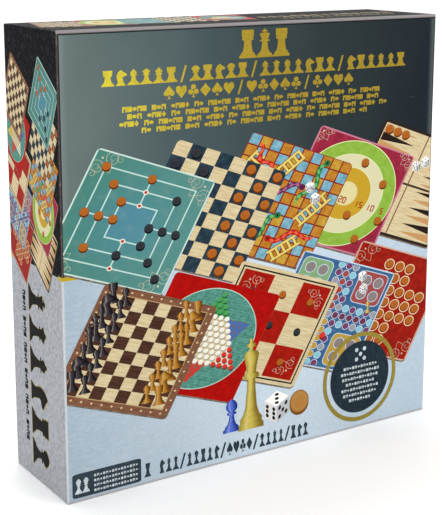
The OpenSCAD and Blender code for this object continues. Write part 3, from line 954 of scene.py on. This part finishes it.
def gold_foil(name, *shades):
    """Gold foil that catches the light on the left and darkens to the right."""
    paint = Paint(name)
    spot = paint.place()
    x, y, z = paint.split(spot)
    stops = [(k / (len(shades) - 1), ink(shade)) for k, shade in enumerate(shades)]
    colour = paint.ramp(x * 0.0045 + 0.5, *stops)
    grain = paint.noise(spot, 0.7, 4.0, 0.6)
    colour = paint.mix(grain.eased(0.35, 0.7) * 0.3, colour, ink("#6f5f1c"))
    return paint.finish(colour=colour, metal=0.3, roughness=grain * 0.12 + 0.3, gloss=0.1,
                        normal=paper_skin(paint, spot))


SLATE_WRAP = wrap_paper("slate_and_silver_wrap", LID_LOW, LID_HIGH, 1.0)
SILVER_WRAP = wrap_paper("silver_wrap", BASE_LOW, BASE_HIGH, 0.0)

GOLD_INK = gold_foil("gold_foil", "#d8ca3c", "#b7a032", "#a08828", "#9c8528", "#9c8528")
DULL_GOLD_INK = gold_foil("dull_gold_foil", "#8f7f32", "#8f7f32")
DARK_INK = flat_ink("slate_ink", ink("#36424b"), ink("#2a353d"), roughness=0.42)
NIGHT_INK = flat_ink("night_ink", ink("#0d0c08"), ink("#060604"), roughness=0.4)
ROUNDEL_INK = flat_ink("roundel_ink", ink("#26343d"), ink("#1c2830"), roughness=0.4)
PALE_INK = flat_ink("pale_ink", ink("#c8d0d3"), ink("#aab5ba"), roughness=0.42)
SCROLL_INK = flat_ink("scroll_ink", ink("#cfc4ac"), ink("#b9ad94"), roughness=0.4)
EDGE_INK = flat_ink("board_edge_ink", ink("#857a69"), ink("#574e43"), roughness=0.5)
PIP_INK = flat_ink("pip_ink", ink("#1c1c20"), ink("#141416"), roughness=0.35)
NUMERAL_INK = flat_ink("numeral_ink", ink("#a8281e"), roughness=0.4)
ORANGE_PICTURE = counter_ink("pictured_orange_counter", ink("#a0561b"), ink("#ab6527"), ink("#5c2908"))
BLACK_PICTURE = counter_ink("pictured_black_counter", ink("#26282d"), ink("#373a40"), ink("#0d0d10"))
COUNTER_PICTURES = {"orange": ORANGE_PICTURE, "black": BLACK_PICTURE}
AMBER_PICTURE = counter_ink("pictured_large_counter", ink("#a67438"), ink("#b28347"), ink("#73461c"))
PEG_PICTURES = {"white": counter_ink("pictured_white_peg", ink("#ddd9cc"), ink("#f0ede4"), ink("#8f8a7a")),
                "green": counter_ink("pictured_green_peg", ink("#3f8c4c"), ink("#58a864"), ink("#1d4a28")),
                "red": counter_ink("pictured_red_peg", ink("#c02c24"), ink("#d84a3c"), ink("#6a1410"))}
COUNTER_PICTURES["red"] = PEG_PICTURES["red"]
TAN_PICTURE = rounded_ink("pictured_tan_piece", ink("#b17c2a"), ink("#64390f"))
KING_PICTURE = rounded_ink("pictured_large_king", ink("#c2b150"), ink("#7c6824"))
DARK_PICTURE = rounded_ink("pictured_black_piece", ink("#39343a"), ink("#121014"))
BLUE_PICTURE = rounded_ink("pictured_blue_pawn", ink("#4d69c8"), ink("#1d2d7c"))


def die_picture_ink():
    """White die faces: the map's s tells the left, right and upper face apart."""
    paint = Paint("pictured_die")
    s, t, _ = paint.split(paint.print_place())
    grain = paint.noise(paint.place(), 0.5, 3.0)
    face = paint.mix(s > 2, ink("#d9d8d6"), ink("#b9babd"))
    face = paint.mix(s > 6, face, ink("#f6f5f2"))
    face = paint.mix(grain * 0.15, face, ink("#8f9298"))
    return paint.finish(colour=face, roughness=grain * 0.1 + 0.3, gloss=INK_GLOSS,
                        normal=paper_skin(paint, paint.place()))


DIE_PICTURE = die_picture_ink()


class PicturedGames:
    """A fan of boards pictured on one wall, with the pieces on them."""

    def __init__(self, prefix, wall):
        self.prefix = prefix
        self.wall = wall
        self.prints = {}

    def print(self, key, material, slot="lid_print"):
        if key not in self.prints:
            self.prints[key] = Print(f"{self.prefix}_{key}", self.wall, material, slot)
        return self.prints[key]

    def board(self, design, layer, field, thick=0.9):
        """A board as a printed sheet over the slanting line of its own thickness."""
        self.print("board_edges", EDGE_INK).add(layer - 0.5, field.moved(-0.45 * thick, -thick).sheet())
        self.print(design + "_board", cover_print(design)).add(layer, field.sheet())

    def counters(self, colour, layer, field, places, size=0.09, thick=0.9):
        ink_print = self.print(colour + "_counters", COUNTER_PICTURES[colour])
        for s, t in places:
            ink_print.add(layer + 0.2, field.spot(s, t, size, (0, -thick), mark=4))
            ink_print.add(layer + 0.4, field.spot(s, t, size))

    def dice(self, layer, *dice):
        for u, v, size, numbers in dice:
            faces, pips = pictured_die(u, v, size, numbers)
            self.print("dice", DIE_PICTURE).add(layer + 0.5, *faces)
            self.print("pips", PIP_INK).add(layer + 0.8, *pips)

    def scrolls(self, layer, field, **sizes):
        self.print("scrolls", SCROLL_INK).add(layer + 0.1, *corner_curls(field, **sizes))

    def make(self):
        for ink_print in self.prints.values():
            ink_print.make()


def opening_rows(squares, inner, rows, side):
    """Centres of the dark squares in the first rows of one side of a draughts board."""
    pitch = 2 * inner / squares
    places = []
    for row in rows:
        for place in range(squares):
            if (row + place) % 2 == 0:
                across = -inner + (row + 0.5) * pitch
                places.append((across * side, (-inner + (place + 0.5) * pitch) * side))
    return places


UPPER_FAN = [("backgammon", 94), ("target", 43), ("snakes_ladders", -8), ("draughts", -59), ("mill", -110)]
LOWER_FAN = [("solitaire", 77), ("ludo", 31), ("tic_tac_toe", -15), ("star", -61), ("chess", -107)]


def cover_fields():
    """Each design's layer and slanted frame on the cover, in wall coordinates."""
    fields = {}
    for k, (design, x) in enumerate(UPPER_FAN):
        fields[design] = (1 + k, Field((x + FACE / 2, 203), (76, -27), (-37, -63)))
    for k, (design, x) in enumerate(LOWER_FAN):
        fields[design] = (6 + k, Field((x + FACE / 2, 126), (74, -26), (-36, -62)))
    return fields


def numeral(field, text, s, t, size, layer, games):
    """A plain number on a pictured board, as bars between the corners of each figure."""
    for k, figure in enumerate(text):
        left = s + k * size * 0.8
        corners = {"0": [(0, 0), (0, 2), (1, 2), (1, 0), (0, 0)], "1": [(0.5, 0), (0.5, 2)],
                   "2": [(0, 2), (1, 2), (1, 1), (0, 1), (0, 0), (1, 0)],
                   "5": [(1, 2), (0, 2), (0, 1), (1, 1), (1, 0), (0, 0)]}[figure]
        for (a, b), (c, d) in zip(corners, corners[1:]):
            run = [(left + a * size / 2, t + b * size / 2), (left + c * size / 2, t + d * size / 2)]
            games.print("numerals", NUMERAL_INK).add(layer, *field.ribbon(run, lambda share: size * 0.2))


def star_pegs(field, layer, games):
    """Pegs standing in three tips of the pictured star, ten to a tip, and in part of its middle."""
    step = 0.1
    for i in range(-4, 9):
        for j in range(-4, 9):
            k = -i - j
            tip = max((i, "green"), (j, "red"), (k, "white"))
            if min(i, j, k) < -4:
                continue
            shade = tip[1] if tip[0] > 4 else "white"
            s = (j - k) * step * 0.5 * 1.1547
            t = i * step
            ink_print = games.print(shade + "_pegs", PEG_PICTURES[shade])
            order = 0.02 * (8 - i)
            ink_print.add(layer + 0.3 + order, field.spot(s, t, 0.045, (0.1, -0.7), mark=4, sides=10))
            ink_print.add(layer + 0.31 + order, field.spot(s, t, 0.045, sides=10))


def chess_men(games, field, layer):
    """Both sides of a chess game, far men first so that near ones overlap them."""
    ranks = ("rook", "knight", "bishop", "queen", "king", "bishop", "knight", "rook")
    pitch = 2 * 0.86 / 8
    men = []
    for row, figure in enumerate(ranks):
        t = 0.86 - (row + 0.5) * pitch
        for column, side, kind in ((0, "black", figure), (1, "black", "pawn"),
                                   (6, "tan", "pawn"), (7, "tan", figure)):
            s = -0.86 + (column + 0.5) * pitch
            u, v = field.at(s, t)
            men.append((v, u, side, kind))
    heights = {"king": 18, "queen": 16.5, "bishop": 14.5, "knight": 13.5, "rook": 12, "pawn": 11}
    for order, (v, u, side, kind) in enumerate(sorted(men, reverse=True)):
        material = DARK_PICTURE if side == "black" else TAN_PICTURE
        strips = pictured(kind, u, v - 1.6, heights[kind], 1.3)
        games.print(side + "_chess_men", material).add(layer + 0.6 + order * 0.08, *strips)


def cover_boards(games):
    fields = cover_fields()
    for design, (layer, field) in fields.items():
        games.board(design, layer, field)

    layer, field = fields["mill"]
    lines = (0.76, 0.53, 0.3)
    games.counters("orange", layer, field, [(-k, k) for k in lines] + [(-k, 0) for k in lines]
                   + [(-0.53, -0.53), (0, 0.76)], 0.07)
    games.counters("black", layer, field, [(k, -k) for k in lines] + [(k, 0) for k in lines]
                   + [(0.53, 0.53), (0, -0.53)], 0.07)
    games.scrolls(layer, field)

    layer, field = fields["draughts"]
    games.counters("black", layer, field, opening_rows(8, 1.0, (0, 1, 2), 1), 0.085)
    games.counters("orange", layer, field, opening_rows(8, 1.0, (0, 1, 2), -1), 0.085)

    layer = fields["snakes_ladders"][0]
    games.dice(layer + 0.3, (168, 161, 5.6, (5, 3, 2)), (172, 153.5, 5.6, (6, 4, 1)))

    layer, field = fields["target"]
    games.counters("orange", layer, field, [(0.1, 0.62), (0.62, 0.35), (0.84, -0.3), (0.55, -0.72),
                                            (0.2, -0.35)], 0.075)
    for text, s in (("20", -0.08), ("15", 0.27), ("10", 0.52), ("5", 0.8)):
        numeral(field, text, s, -0.17, 0.1, layer + 0.1, games)
    games.scrolls(layer, field, inset=0.87, size=0.08)

    layer, field = fields["backgammon"]
    pitch = 1.84 / 12
    points = [0.92 - (k + 0.5) * pitch for k in range(12)]
    games.counters("orange", layer, field, [(-0.84, points[0]), (-0.66, points[0]), (-0.48, points[0]),
                                            (-0.84, points[3])], 0.08)
    games.counters("black", layer, field, [(-0.84, points[6]), (-0.66, points[6]), (-0.84, points[10])], 0.08)
    games.dice(layer + 1.4, (254, 165.5, 5.6, (3, 6, 5)), (261.6, 167.5, 5.6, (2, 4, 1)))

    layer, field = fields["solitaire"]
    games.scrolls(layer, field)

    layer, field = fields["ludo"]
    games.dice(layer + 0.3, (211, 98.5, 5.4, (1, 5, 3)), (212, 90, 5.4, (4, 2, 6)))
    games.print("yellow_pawns", KING_PICTURE).add(layer + 0.6, *pictured("pawn", 216, 77, 8, 1.2))
    games.counters("red", layer, field, [(0.08, -0.4), (-0.06, 0.46)], 0.06)

    layer, field = fields["tic_tac_toe"]
    third = 0.88 * 2 / 3
    games.counters("orange", layer, field, [(0, third), (third, third * 0.95), (third * 0.9, -third)], 0.065)
    games.counters("black", layer, field, [(-third, third * 0.9), (0, 0.02), (third, 0)], 0.065)
    games.scrolls(layer, field, inset=0.66, size=0.1)

    layer, field = fields["star"]
    star_pegs(field, layer, games)

    layer, field = fields["chess"]
    chess_men(games, field, layer)


def cover_foreground(games):
    """The large pieces that stand in front of the boards, and the round badge."""
    half = FACE / 2
    games.print("blue_pawn", BLUE_PICTURE).add(13, *pictured("pawn", half - 22.7, 19, 21, 1.15))
    games.print("tan_king", KING_PICTURE).add(13.5, *pictured("king", half - 8.4, 18, 58, 0.8))
    big = games.print("big_counter", AMBER_PICTURE)
    big.add(13.2, disc(half + 28.2, 26.6, 7.4, mark=4)).add(13.6, disc(half + 28.2, 28.2, 7.4))
    faces, pips = pictured_die(half + 10.8, 17.5, 15.2, (6, 5, 3))
    games.print("dice", DIE_PICTURE).add(14.2, *faces)
    games.print("pips", PIP_INK).add(14.6, *pips)
    u, v = half + 77.2, 34.7
    games.print("badge_ring", DULL_GOLD_INK, "gold_print").add(13, *ring(u, v, 30.2, 27.4))
    games.print("badge", ROUNDEL_INK).add(13, disc(u, v, 24.2, sides=48))
    marks = games.print("badge_marks", PALE_INK)
    marks.add(13.6, *[disc(u + 3.2 * i, v + 15.5 + 3.2 * j, 1.4, sides=16) for i, j in PIPS[5]])
    for k, length in enumerate((14, 16, 15, 12, 15.5, 14, 9)):
        links = (["brick", "arch", "bead"] * 9)[:int(length * 0.9)]
        marks.add(13.6, *line_of(links, u - length, u + length, v + 6.2 - 3.7 * k, 2.1, 0.8))


def cover_ornaments(games):
    """Rows of gold ornaments across the head of the cover and dark ones along its foot."""
    half = FACE / 2
    gold = games.print("gold_ornaments", GOLD_INK, "gold_print")
    gold.add(1, *line_of(["rook", "king", "rook"], half - 18, half + 18, 246.4, 16.4, 0.72))
    words = (["rook", "knight", "bishop", "queen", "king", "rook"], ["pawn", "rook", "knight", "pawn", "rook"],
             ["bishop", "queen", "king", "bishop", "knight", "rook", "pawn"],
             ["knight", "rook", "queen", "king", "bishop", "rook"])
    suits = (["spade", "heart", "club", "diamond", "spade", "heart"],
             ["heart", "club", "diamond", "spade", "club"], ["club", "diamond", "heart", "spade"])
    for row, start, end, base, size in ((words, -107.5, 108.5, 235.6, 8.6), (suits, -69, 67, 226.2, 7.6)):
        line = [kind for word in row for kind in [*word, "slash"]][:-1]
        gold.add(1, *line_of(line, half + start, half + end, base, size, 0.94))
    words = (["arch", "brick", "bead", "arch", "brick", "gap"], ["brick", "bead", "arch", "gap"],
             ["bead", "arch", "brick", "diamond", "gap"], ["arch", "bead", "gap"])
    for k, (start, end) in enumerate(((-95, 91), (-92, 87), (-97, 94), (-83, 78))):
        line = [kind for word in (words[k:] + words[:k]) * 4 for kind in word]
        count = int((end - start) / 3.1)
        gold.add(1, *line_of(line[:count], half + start, half + end, 220.6 - 4.1 * k, 3.4, 0.88))

    plate = Field((half - 130.5, 17.3), (44.5, 0), (0, -14.6))
    games.print("plate", DARK_INK).add(1, plate.sheet(0.14, 3))
    on_plate = games.print("plate_marks", PALE_INK)
    on_plate.add(1.6, *line_of(["pawn", "pawn"], half - 129, half - 119.5, 5.2, 9))
    for k in range(4):
        on_plate.add(1.6, *line_of(["brick", "arch", "bead"] * 5, half - 117, half - 88, 13.2 - 3.0 * k, 1.7, 0.8))
    foot = ["rook", "gap", "knight", "bishop", "queen", "slash", "king", "pawn", "rook", "bishop", "knight",
            "slash", "spade", "heart", "club", "diamond", "slash", "pawn", "queen", "king", "bishop", "slash",
            "rook", "knight", "pawn"]
    games.print("foot_ornaments", DARK_INK).add(1, *line_of(foot, half - 84, half + 36, 4.4, 8.6, 0.5))


def side_print(prefix, wall):
    """A lid wall: a narrow fan of boards over a column of gold ornaments laid on their side."""
    games = PicturedGames(prefix, wall)
    along, down = (24.5, -19), (-14.5, -32)
    near = [("backgammon", 41.5, 171), ("target", 42.5, 191), ("snakes_ladders", 43.5, 211),
            ("draughts", 44.5, 231.5), ("mill", 45.5, 252)]
    far = [("solitaire", 12, 169), ("ludo", 10, 189), ("tic_tac_toe", 9, 210), ("star", 8.5, 231),
           ("chess", 9, 252)]
    for layer, (design, u, v) in enumerate(far + near, 1):
        field = Field((u, v), along, down)
        games.board(design, layer, field, 0.4)
        if design == "mill":
            games.counters("orange", layer, field, [(-k, k) for k in (0.76, 0.53, 0.3)]
                           + [(0, 0.53), (-0.53, 0)], 0.09, 0.35)
            games.counters("black", layer, field, [(k, -k) for k in (0.76, 0.53, 0.3)]
                           + [(0, -0.53), (0.53, 0)], 0.09, 0.35)
        if design == "draughts":
            games.counters("black", layer, field, opening_rows(8, 1.0, (0, 1), 1), 0.1, 0.35)
            games.counters("orange", layer, field, opening_rows(8, 1.0, (0, 1), -1), 0.1, 0.35)
        if design == "target":
            games.counters("orange", layer, field, [(-0.3, -0.2), (0.3, -0.6), (0.62, 0.1)], 0.09, 0.35)
    men = ["king", "queen", "bishop", "knight", "rook", "pawn"]
    gold = games.print("gold_ornaments", DULL_GOLD_INK, "gold_print")
    gold.add(1, *line_of(men, 121, 8, 23.4, 23.2, 0.74, True))
    games.print("dark_ornaments", NIGHT_INK).add(1.6, *line_of(men, 121, 8, 24, 22, 0.7, True))
    links = ["arch", "brick", "bead", "arch", "gap", "brick", "bead", "arch", "brick", "gap"] * 3
    games.print("fine_ornaments", NIGHT_INK).add(1, *line_of(links, 114, 18, 15, 4.6, 0.62, True))
    games.make()


def top_print():
    """The lid's upper wall: a row of five pictured boards, and two gold rows of ornaments."""
    games = PicturedGames("top", TOP)
    designs = ("chess", "target", "mill", "draughts", "star")
    for k, design in enumerate(designs):
        field = Field((14 + 27 * k, 66), (32, -5), (-11, -40))
        games.board(design, 1 + k, field, 0.4)
    men = ["king", "queen", "bishop", "knight", "rook", "pawn"]
    gold = games.print("gold_ornaments", DULL_GOLD_INK, "gold_print")
    gold.add(1, *line_of(men + ["slash"] + men[::-1], 152, 258, 30, 10, 0.7))
    gold.add(1, *line_of(["spade", "heart", "club", "diamond"] * 4, 160, 250, 18, 5, 0.8))
    games.make()


def rear_print():
    """The base's back: the ten boards in two rows of small pictures, and a row of pieces."""
    games = PicturedGames("rear", REAR)
    names = [design for design, _ in UPPER_FAN[::-1] + LOWER_FAN[::-1]]
    pitch = (BASE_FACE - 24) / 5
    size = pitch - 6
    for k, design in enumerate(names):
        u = 15 + (k % 5) * pitch
        v = (226 if k < 5 else 170)
        games.print(design + "_board", cover_print(design), "base_print").add(
            1, Field((u, v), (size, 0), (0, -size)).sheet())
    frame_lines = games.print("rules", DARK_INK, "base_print")
    for v in (236, 121, 62):
        frame_lines.add(1, bar(12, BASE_FACE - 12, v, v + 0.7))
    men = ["king", "queen", "bishop", "knight", "rook", "pawn"]
    heights = {"king": 39, "queen": 35.5, "bishop": 31, "knight": 28.5, "rook": 25.7, "pawn": 23}
    for side, material, start in (("tan", TAN_PICTURE, 28), ("black", DARK_PICTURE, 142)):
        pieces = games.print(side + "_men", material, "base_print")
        for k, kind in enumerate(men):
            pieces.add(1, *pictured(kind, start + 18.6 * k, 70, heights[kind]))
    row = games.print("orange_counters", ORANGE_PICTURE, "base_print")
    dark = games.print("black_counters", BLACK_PICTURE, "base_print")
    for k in range(4):
        row.add(1, disc(34 + 21 * k, 36, 9.2, mark=4)).add(1.5, disc(34 + 21 * k, 38, 9.2))
        dark.add(1, disc(BASE_FACE - 34 - 21 * k, 36, 9.2, mark=4)).add(1.5, disc(BASE_FACE - 34 - 21 * k, 38, 9.2))
    faces, pips = pictured_die(BASE_FACE / 2, 29, 12, (4, 5, 6))
    games.print("dice", DIE_PICTURE, "base_print").add(1, *faces)
    games.print("pips", PIP_INK, "base_print").add(1.5, *pips)
    games.print("gold_ornaments", GOLD_INK, "gold_print").add(
        1, *line_of(["spade", "heart", "club", "diamond"] * 4, 60, BASE_FACE - 60, 241, 9))
    games.make()


# Plain materials of the pieces inside

def greyboard():
    paint = Paint("greyboard")
    spot = paint.place()
    fibres = paint.noise(spot, 1.4, 6.0, 0.75)
    flecks = paint.cells(spot, 1.1)
    colour = paint.mix(fibres.eased(0.3, 0.7), ink("#9a9284"), ink("#b9b2a4"))
    colour = paint.mix((flecks < 0.12) * 0.6, colour, ink("#6d665a"))
    return paint.finish(colour=colour, roughness=fibres * 0.12 + 0.8,
                        normal=paint.bump(fibres, 0.00008, 0.7))


def tape():
    paint = Paint("stay_tape")
    spot = paint.place()
    laid = paint.noise(spot, 1.6, 5.0, 0.7)
    return paint.finish(colour=paint.mix(laid, ink("#cfc7b4"), ink("#e2dccd")), roughness=laid * 0.1 + 0.7,
                        normal=paint.bump(laid, 0.00005, 0.6))


def page_block():
    """Book paper whose cut edges show the single sheets."""
    paint = Paint("booklet_paper")
    spot = paint.place()
    x, y, z = paint.split(spot)
    sheets = abs(from_step(y + (paint.noise(spot, 0.2, 2.0) - 0.5) * 0.05, 0.1)) * 20
    laid = paint.noise(spot, 1.2, 4.0, 0.6)
    colour = paint.mix(laid, ink("#ece6d6"), ink("#f6f2e8"))
    colour = paint.mix(sheets * 0.25, colour, ink("#b8ae98"))
    return paint.finish(colour=colour, roughness=laid * 0.08 + 0.74,
                        normal=paint.bump(sheets + laid, 0.00003, 0.6))


def booklet_paper():
    """Covers printed with a lozenge of squares between two dark bands of small lozenges."""
    paint = Paint("booklet_cover")
    spot = paint.place()
    x, y, z = paint.split(spot)
    low, high = box_mm("booklet_front_cover")
    middle = (low + high) / 2
    u = x - middle.x
    v = z - middle.z
    laid = paint.noise(spot, 0.8, 4.0, 0.6)
    colour = paint.mix(laid.eased(0.3, 0.7), ink("#8fa0ae"), ink("#a9b8c4"))
    tall = (high.z - low.z) / 2
    from_end = tall - abs(v)
    squares = checked(u / 48, v / 48, 8)
    lozenge = abs(u) + abs(v)
    small = abs(from_step(u, 14)) * 1.6 + abs(from_end - 13)
    colour = paint.layers(colour, (lozenge < 52, ink("#2c363f")), ((lozenge < 48) * squares, ink("#cbb98c")),
                          (abs(lozenge - 56) < 0.8, ink("#8f7f32")), (from_end < 26, ink("#333d45")),
                          (small < 4.5, ink("#b89f2c")), (abs(from_end - 28.5) < 0.7, ink("#8f7f32")))
    colour = paint.mix(laid.eased(0.4, 0.7) * 0.12, colour, ink("#1c1c1e"))
    sheet = high.y - low.y
    back = box_mm("booklet_back_cover")[1].y
    inside = (y > low.y + sheet / 2) * (y < back - sheet / 2) * (x > low.x + sheet / 2)
    colour = paint.mix(inside, colour, paint.mix(laid, ink("#dcd8ce"), ink("#e9e6dd")))
    return paint.finish(colour=colour, roughness=laid * 0.12 + 0.38 + inside * 0.25,
                        normal=paper_skin(paint, spot))


def staple_steel():
    paint = Paint("staple_wire")
    drawn = paint.noise(paint.place(), 4.0, 3.0)
    return paint.finish(colour=paint.mix(drawn, ink("#a9acb0"), ink("#c6c8cb")), metal=1.0,
                        roughness=drawn * 0.15 + 0.24, normal=paint.bump(drawn, 0.00001, 0.5))


def tray_sheet():
    """Vacuum-formed sheet with a fine pebbled face."""
    paint = Paint("tray_plastic")
    spot = paint.place()
    pebble = paint.cells(spot, 1.8)
    cloud = paint.noise(spot, 0.04, 3.0)
    colour = paint.mix(cloud.eased(0.3, 0.7), ink("#23272c"), ink("#2f343a"))
    return paint.finish(colour=colour, roughness=cloud * 0.1 + pebble * 0.08 + 0.4, gloss=0.45,
                        normal=paint.bump(pebble, 0.00004, 0.5))


def moulded(name, light, dark, rough=0.26):
    """Injection-moulded styrene: glossy, faintly uneven, with a few handling marks."""
    paint = Paint(name)
    spot = paint.place()
    flow = paint.noise(spot, 0.12, 3.0, 0.5, 0.5)
    skin = paint.noise(spot, 2.2, 4.0, 0.6)
    marks = paint.noise(spot, 0.7, 5.0, 0.8)
    colour = paint.mix(flow.eased(0.3, 0.7), dark, light)
    return paint.finish(colour=colour, roughness=(marks > 0.62) * 0.14 + skin * 0.08 + rough, gloss=0.5,
                        normal=paint.bump(skin, 0.00002, 0.5), coat=0.15, coat_roughness=0.1)


def die_plastic():
    """White dice plastic; the pips are sunk into the dice and get this same white, with no black filling."""
    paint = Paint("dice_plastic")
    spot = paint.place()
    skin = paint.noise(spot, 1.6, 4.0, 0.6)
    colour = paint.mix(skin, ink("#e6e2d8"), ink("#f4f1ea"))
    return paint.finish(colour=colour, roughness=skin * 0.08 + 0.22, normal=paint.bump(skin, 0.00002, 0.4),
                        coat=0.3, coat_roughness=0.08)


def dress(material, *names):
    """Gives CAD nodes a material."""
    for name in names:
        slots = NODES[name].material_slots
        if not slots:
            NODES[name].data.materials.append(material)
        for slot in NODES[name].material_slots:
            slot.material = material


def dress_insides():
    dress(SLATE_WRAP, "lid_wrap")
    dress(SILVER_WRAP, "base_wrap")
    dress(greyboard(), "lid_board", "base_board", *[f"board_{i}_core" for i in range(1, 6)])
    dress(tape(), "lid_corner_stays", "base_corner_stays")
    pairs = (("snakes_ladders", "ludo"), ("draughts", "star"), ("backgammon", "solitaire"),
             ("mill", "tic_tac_toe"), ("target", "chess"))
    for i, (front, back) in enumerate(pairs, 1):
        dress(board_print(front, False), f"board_{i}_front_sheet")
        dress(board_print(back, True), f"board_{i}_back_sheet")
    dress(booklet_paper(), "booklet_front_cover", "booklet_back_cover")
    dress(page_block(), "booklet_pages")
    dress(staple_steel(), "booklet_staples")
    dress(tray_sheet(), "piece_tray")
    shades = {"black": ("#2c2b2e", "#1c1b1e"), "tan": ("#cfa54a", "#b98c36"), "red": ("#c8281e", "#a81c16"),
              "blue": ("#3a58cc", "#2a42a8"), "yellow": ("#e8c430", "#d3a81e"),
              "green": ("#2f9e4e", "#1f7f3c"), "white": ("#efeae0", "#dcd6c8"),
              "purple": ("#80429a", "#642f7c"), "orange": ("#d97a34", "#bd5f22")}
    plastics = {shade: moulded(shade + "_plastic", ink(a), ink(b)) for shade, (a, b) in shades.items()}
    for name in NODES:
        shade, _, kind = name.partition("_")
        if shade in plastics and kind:
            dress(plastics[shade], name)
    dress(die_plastic(), "dice")


# Studio

def studio():
    """Pale floor that sweeps up behind the box, a soft sky and three large soft lights."""
    sweep = bmesh.new()
    wide, near, far, tall, bend = 6.0, -4.0, 3.0, 4.0, 1.5
    profile = [(near, 0.0), (far - bend, 0.0)]
    for k in range(1, 13):
        angle = math.radians(90 * k / 12)
        profile.append((far - bend + bend * math.sin(angle), bend * (1 - math.cos(angle))))
    profile.append((far, tall))
    rows = [[sweep.verts.new((x, y, z)) for x in (-wide, wide)] for y, z in profile]
    for low, high in zip(rows, rows[1:]):
        sweep.faces.new((low[0], low[1], high[1], high[0])).smooth = True
    mesh = bpy.data.meshes.new("floor")
    sweep.to_mesh(mesh)
    sweep.free()
    floor = bpy.data.objects.new("floor", mesh)
    bpy.context.scene.collection.objects.link(floor)
    paint = Paint("pale_floor")
    mesh.materials.append(paint.finish(colour=(1.0, 1.0, 1.0), roughness=0.6, gloss=0.2,
                                       glow=0.07, glow_colour=(1.0, 1.0, 1.0)))

    world = bpy.data.worlds.new("soft_sky")
    world.use_nodes = True
    world.node_tree.nodes["Background"].inputs["Color"].default_value = (1.0, 1.0, 1.0, 1.0)
    world.node_tree.nodes["Background"].inputs["Strength"].default_value = 0.85
    bpy.context.scene.world = world
    centre = Vector((0.0, 0.0, 0.13))
    lights = (("key", (0.9, -1.5, 1.5), 1.3, 14.0), ("fill", (-1.7, -0.9, 0.8), 1.2, 3.0),
              ("back", (0.2, 1.2, 1.9), 1.6, 18.0))
    for name, place, size, power in lights:
        lamp = bpy.data.lights.new(name, "AREA")
        lamp.size = size
        lamp.energy = power
        made = bpy.data.objects.new(name, lamp)
        made.location = place
        made.rotation_euler = (centre - Vector(place)).to_track_quat("-Z", "Y").to_euler()
        bpy.context.scene.collection.objects.link(made)


def camera():
    """The photograph's viewpoint, found by fitting the box's seven visible corners."""
    view = bpy.data.cameras.new("camera")
    view.lens = 86.4
    view.sensor_width = 36.0
    view.shift_y = -0.1495
    view.clip_start = 0.05
    made = bpy.data.objects.new("camera", view)
    made.location = (-0.4148, -0.6273, 0.3144)
    yaw, pitch = math.radians(32.98), math.radians(11.08)
    gaze = Vector((math.sin(yaw) * math.cos(pitch), math.cos(yaw) * math.cos(pitch), -math.sin(pitch)))
    made.rotation_euler = gaze.to_track_quat("-Z", "Y").to_euler()
    bpy.context.scene.collection.objects.link(made)
    bpy.context.scene.camera = made


camera()
studio()
bpy.context.scene.view_settings.view_transform = "Standard"
dress_insides()
COVER_GAMES = PicturedGames("cover", COVER)
cover_boards(COVER_GAMES)
cover_foreground(COVER_GAMES)
cover_ornaments(COVER_GAMES)
COVER_GAMES.make()
side_print("left_side", LEFT_SIDE)
side_print("right_side", RIGHT_SIDE)
top_print()
rear_print()
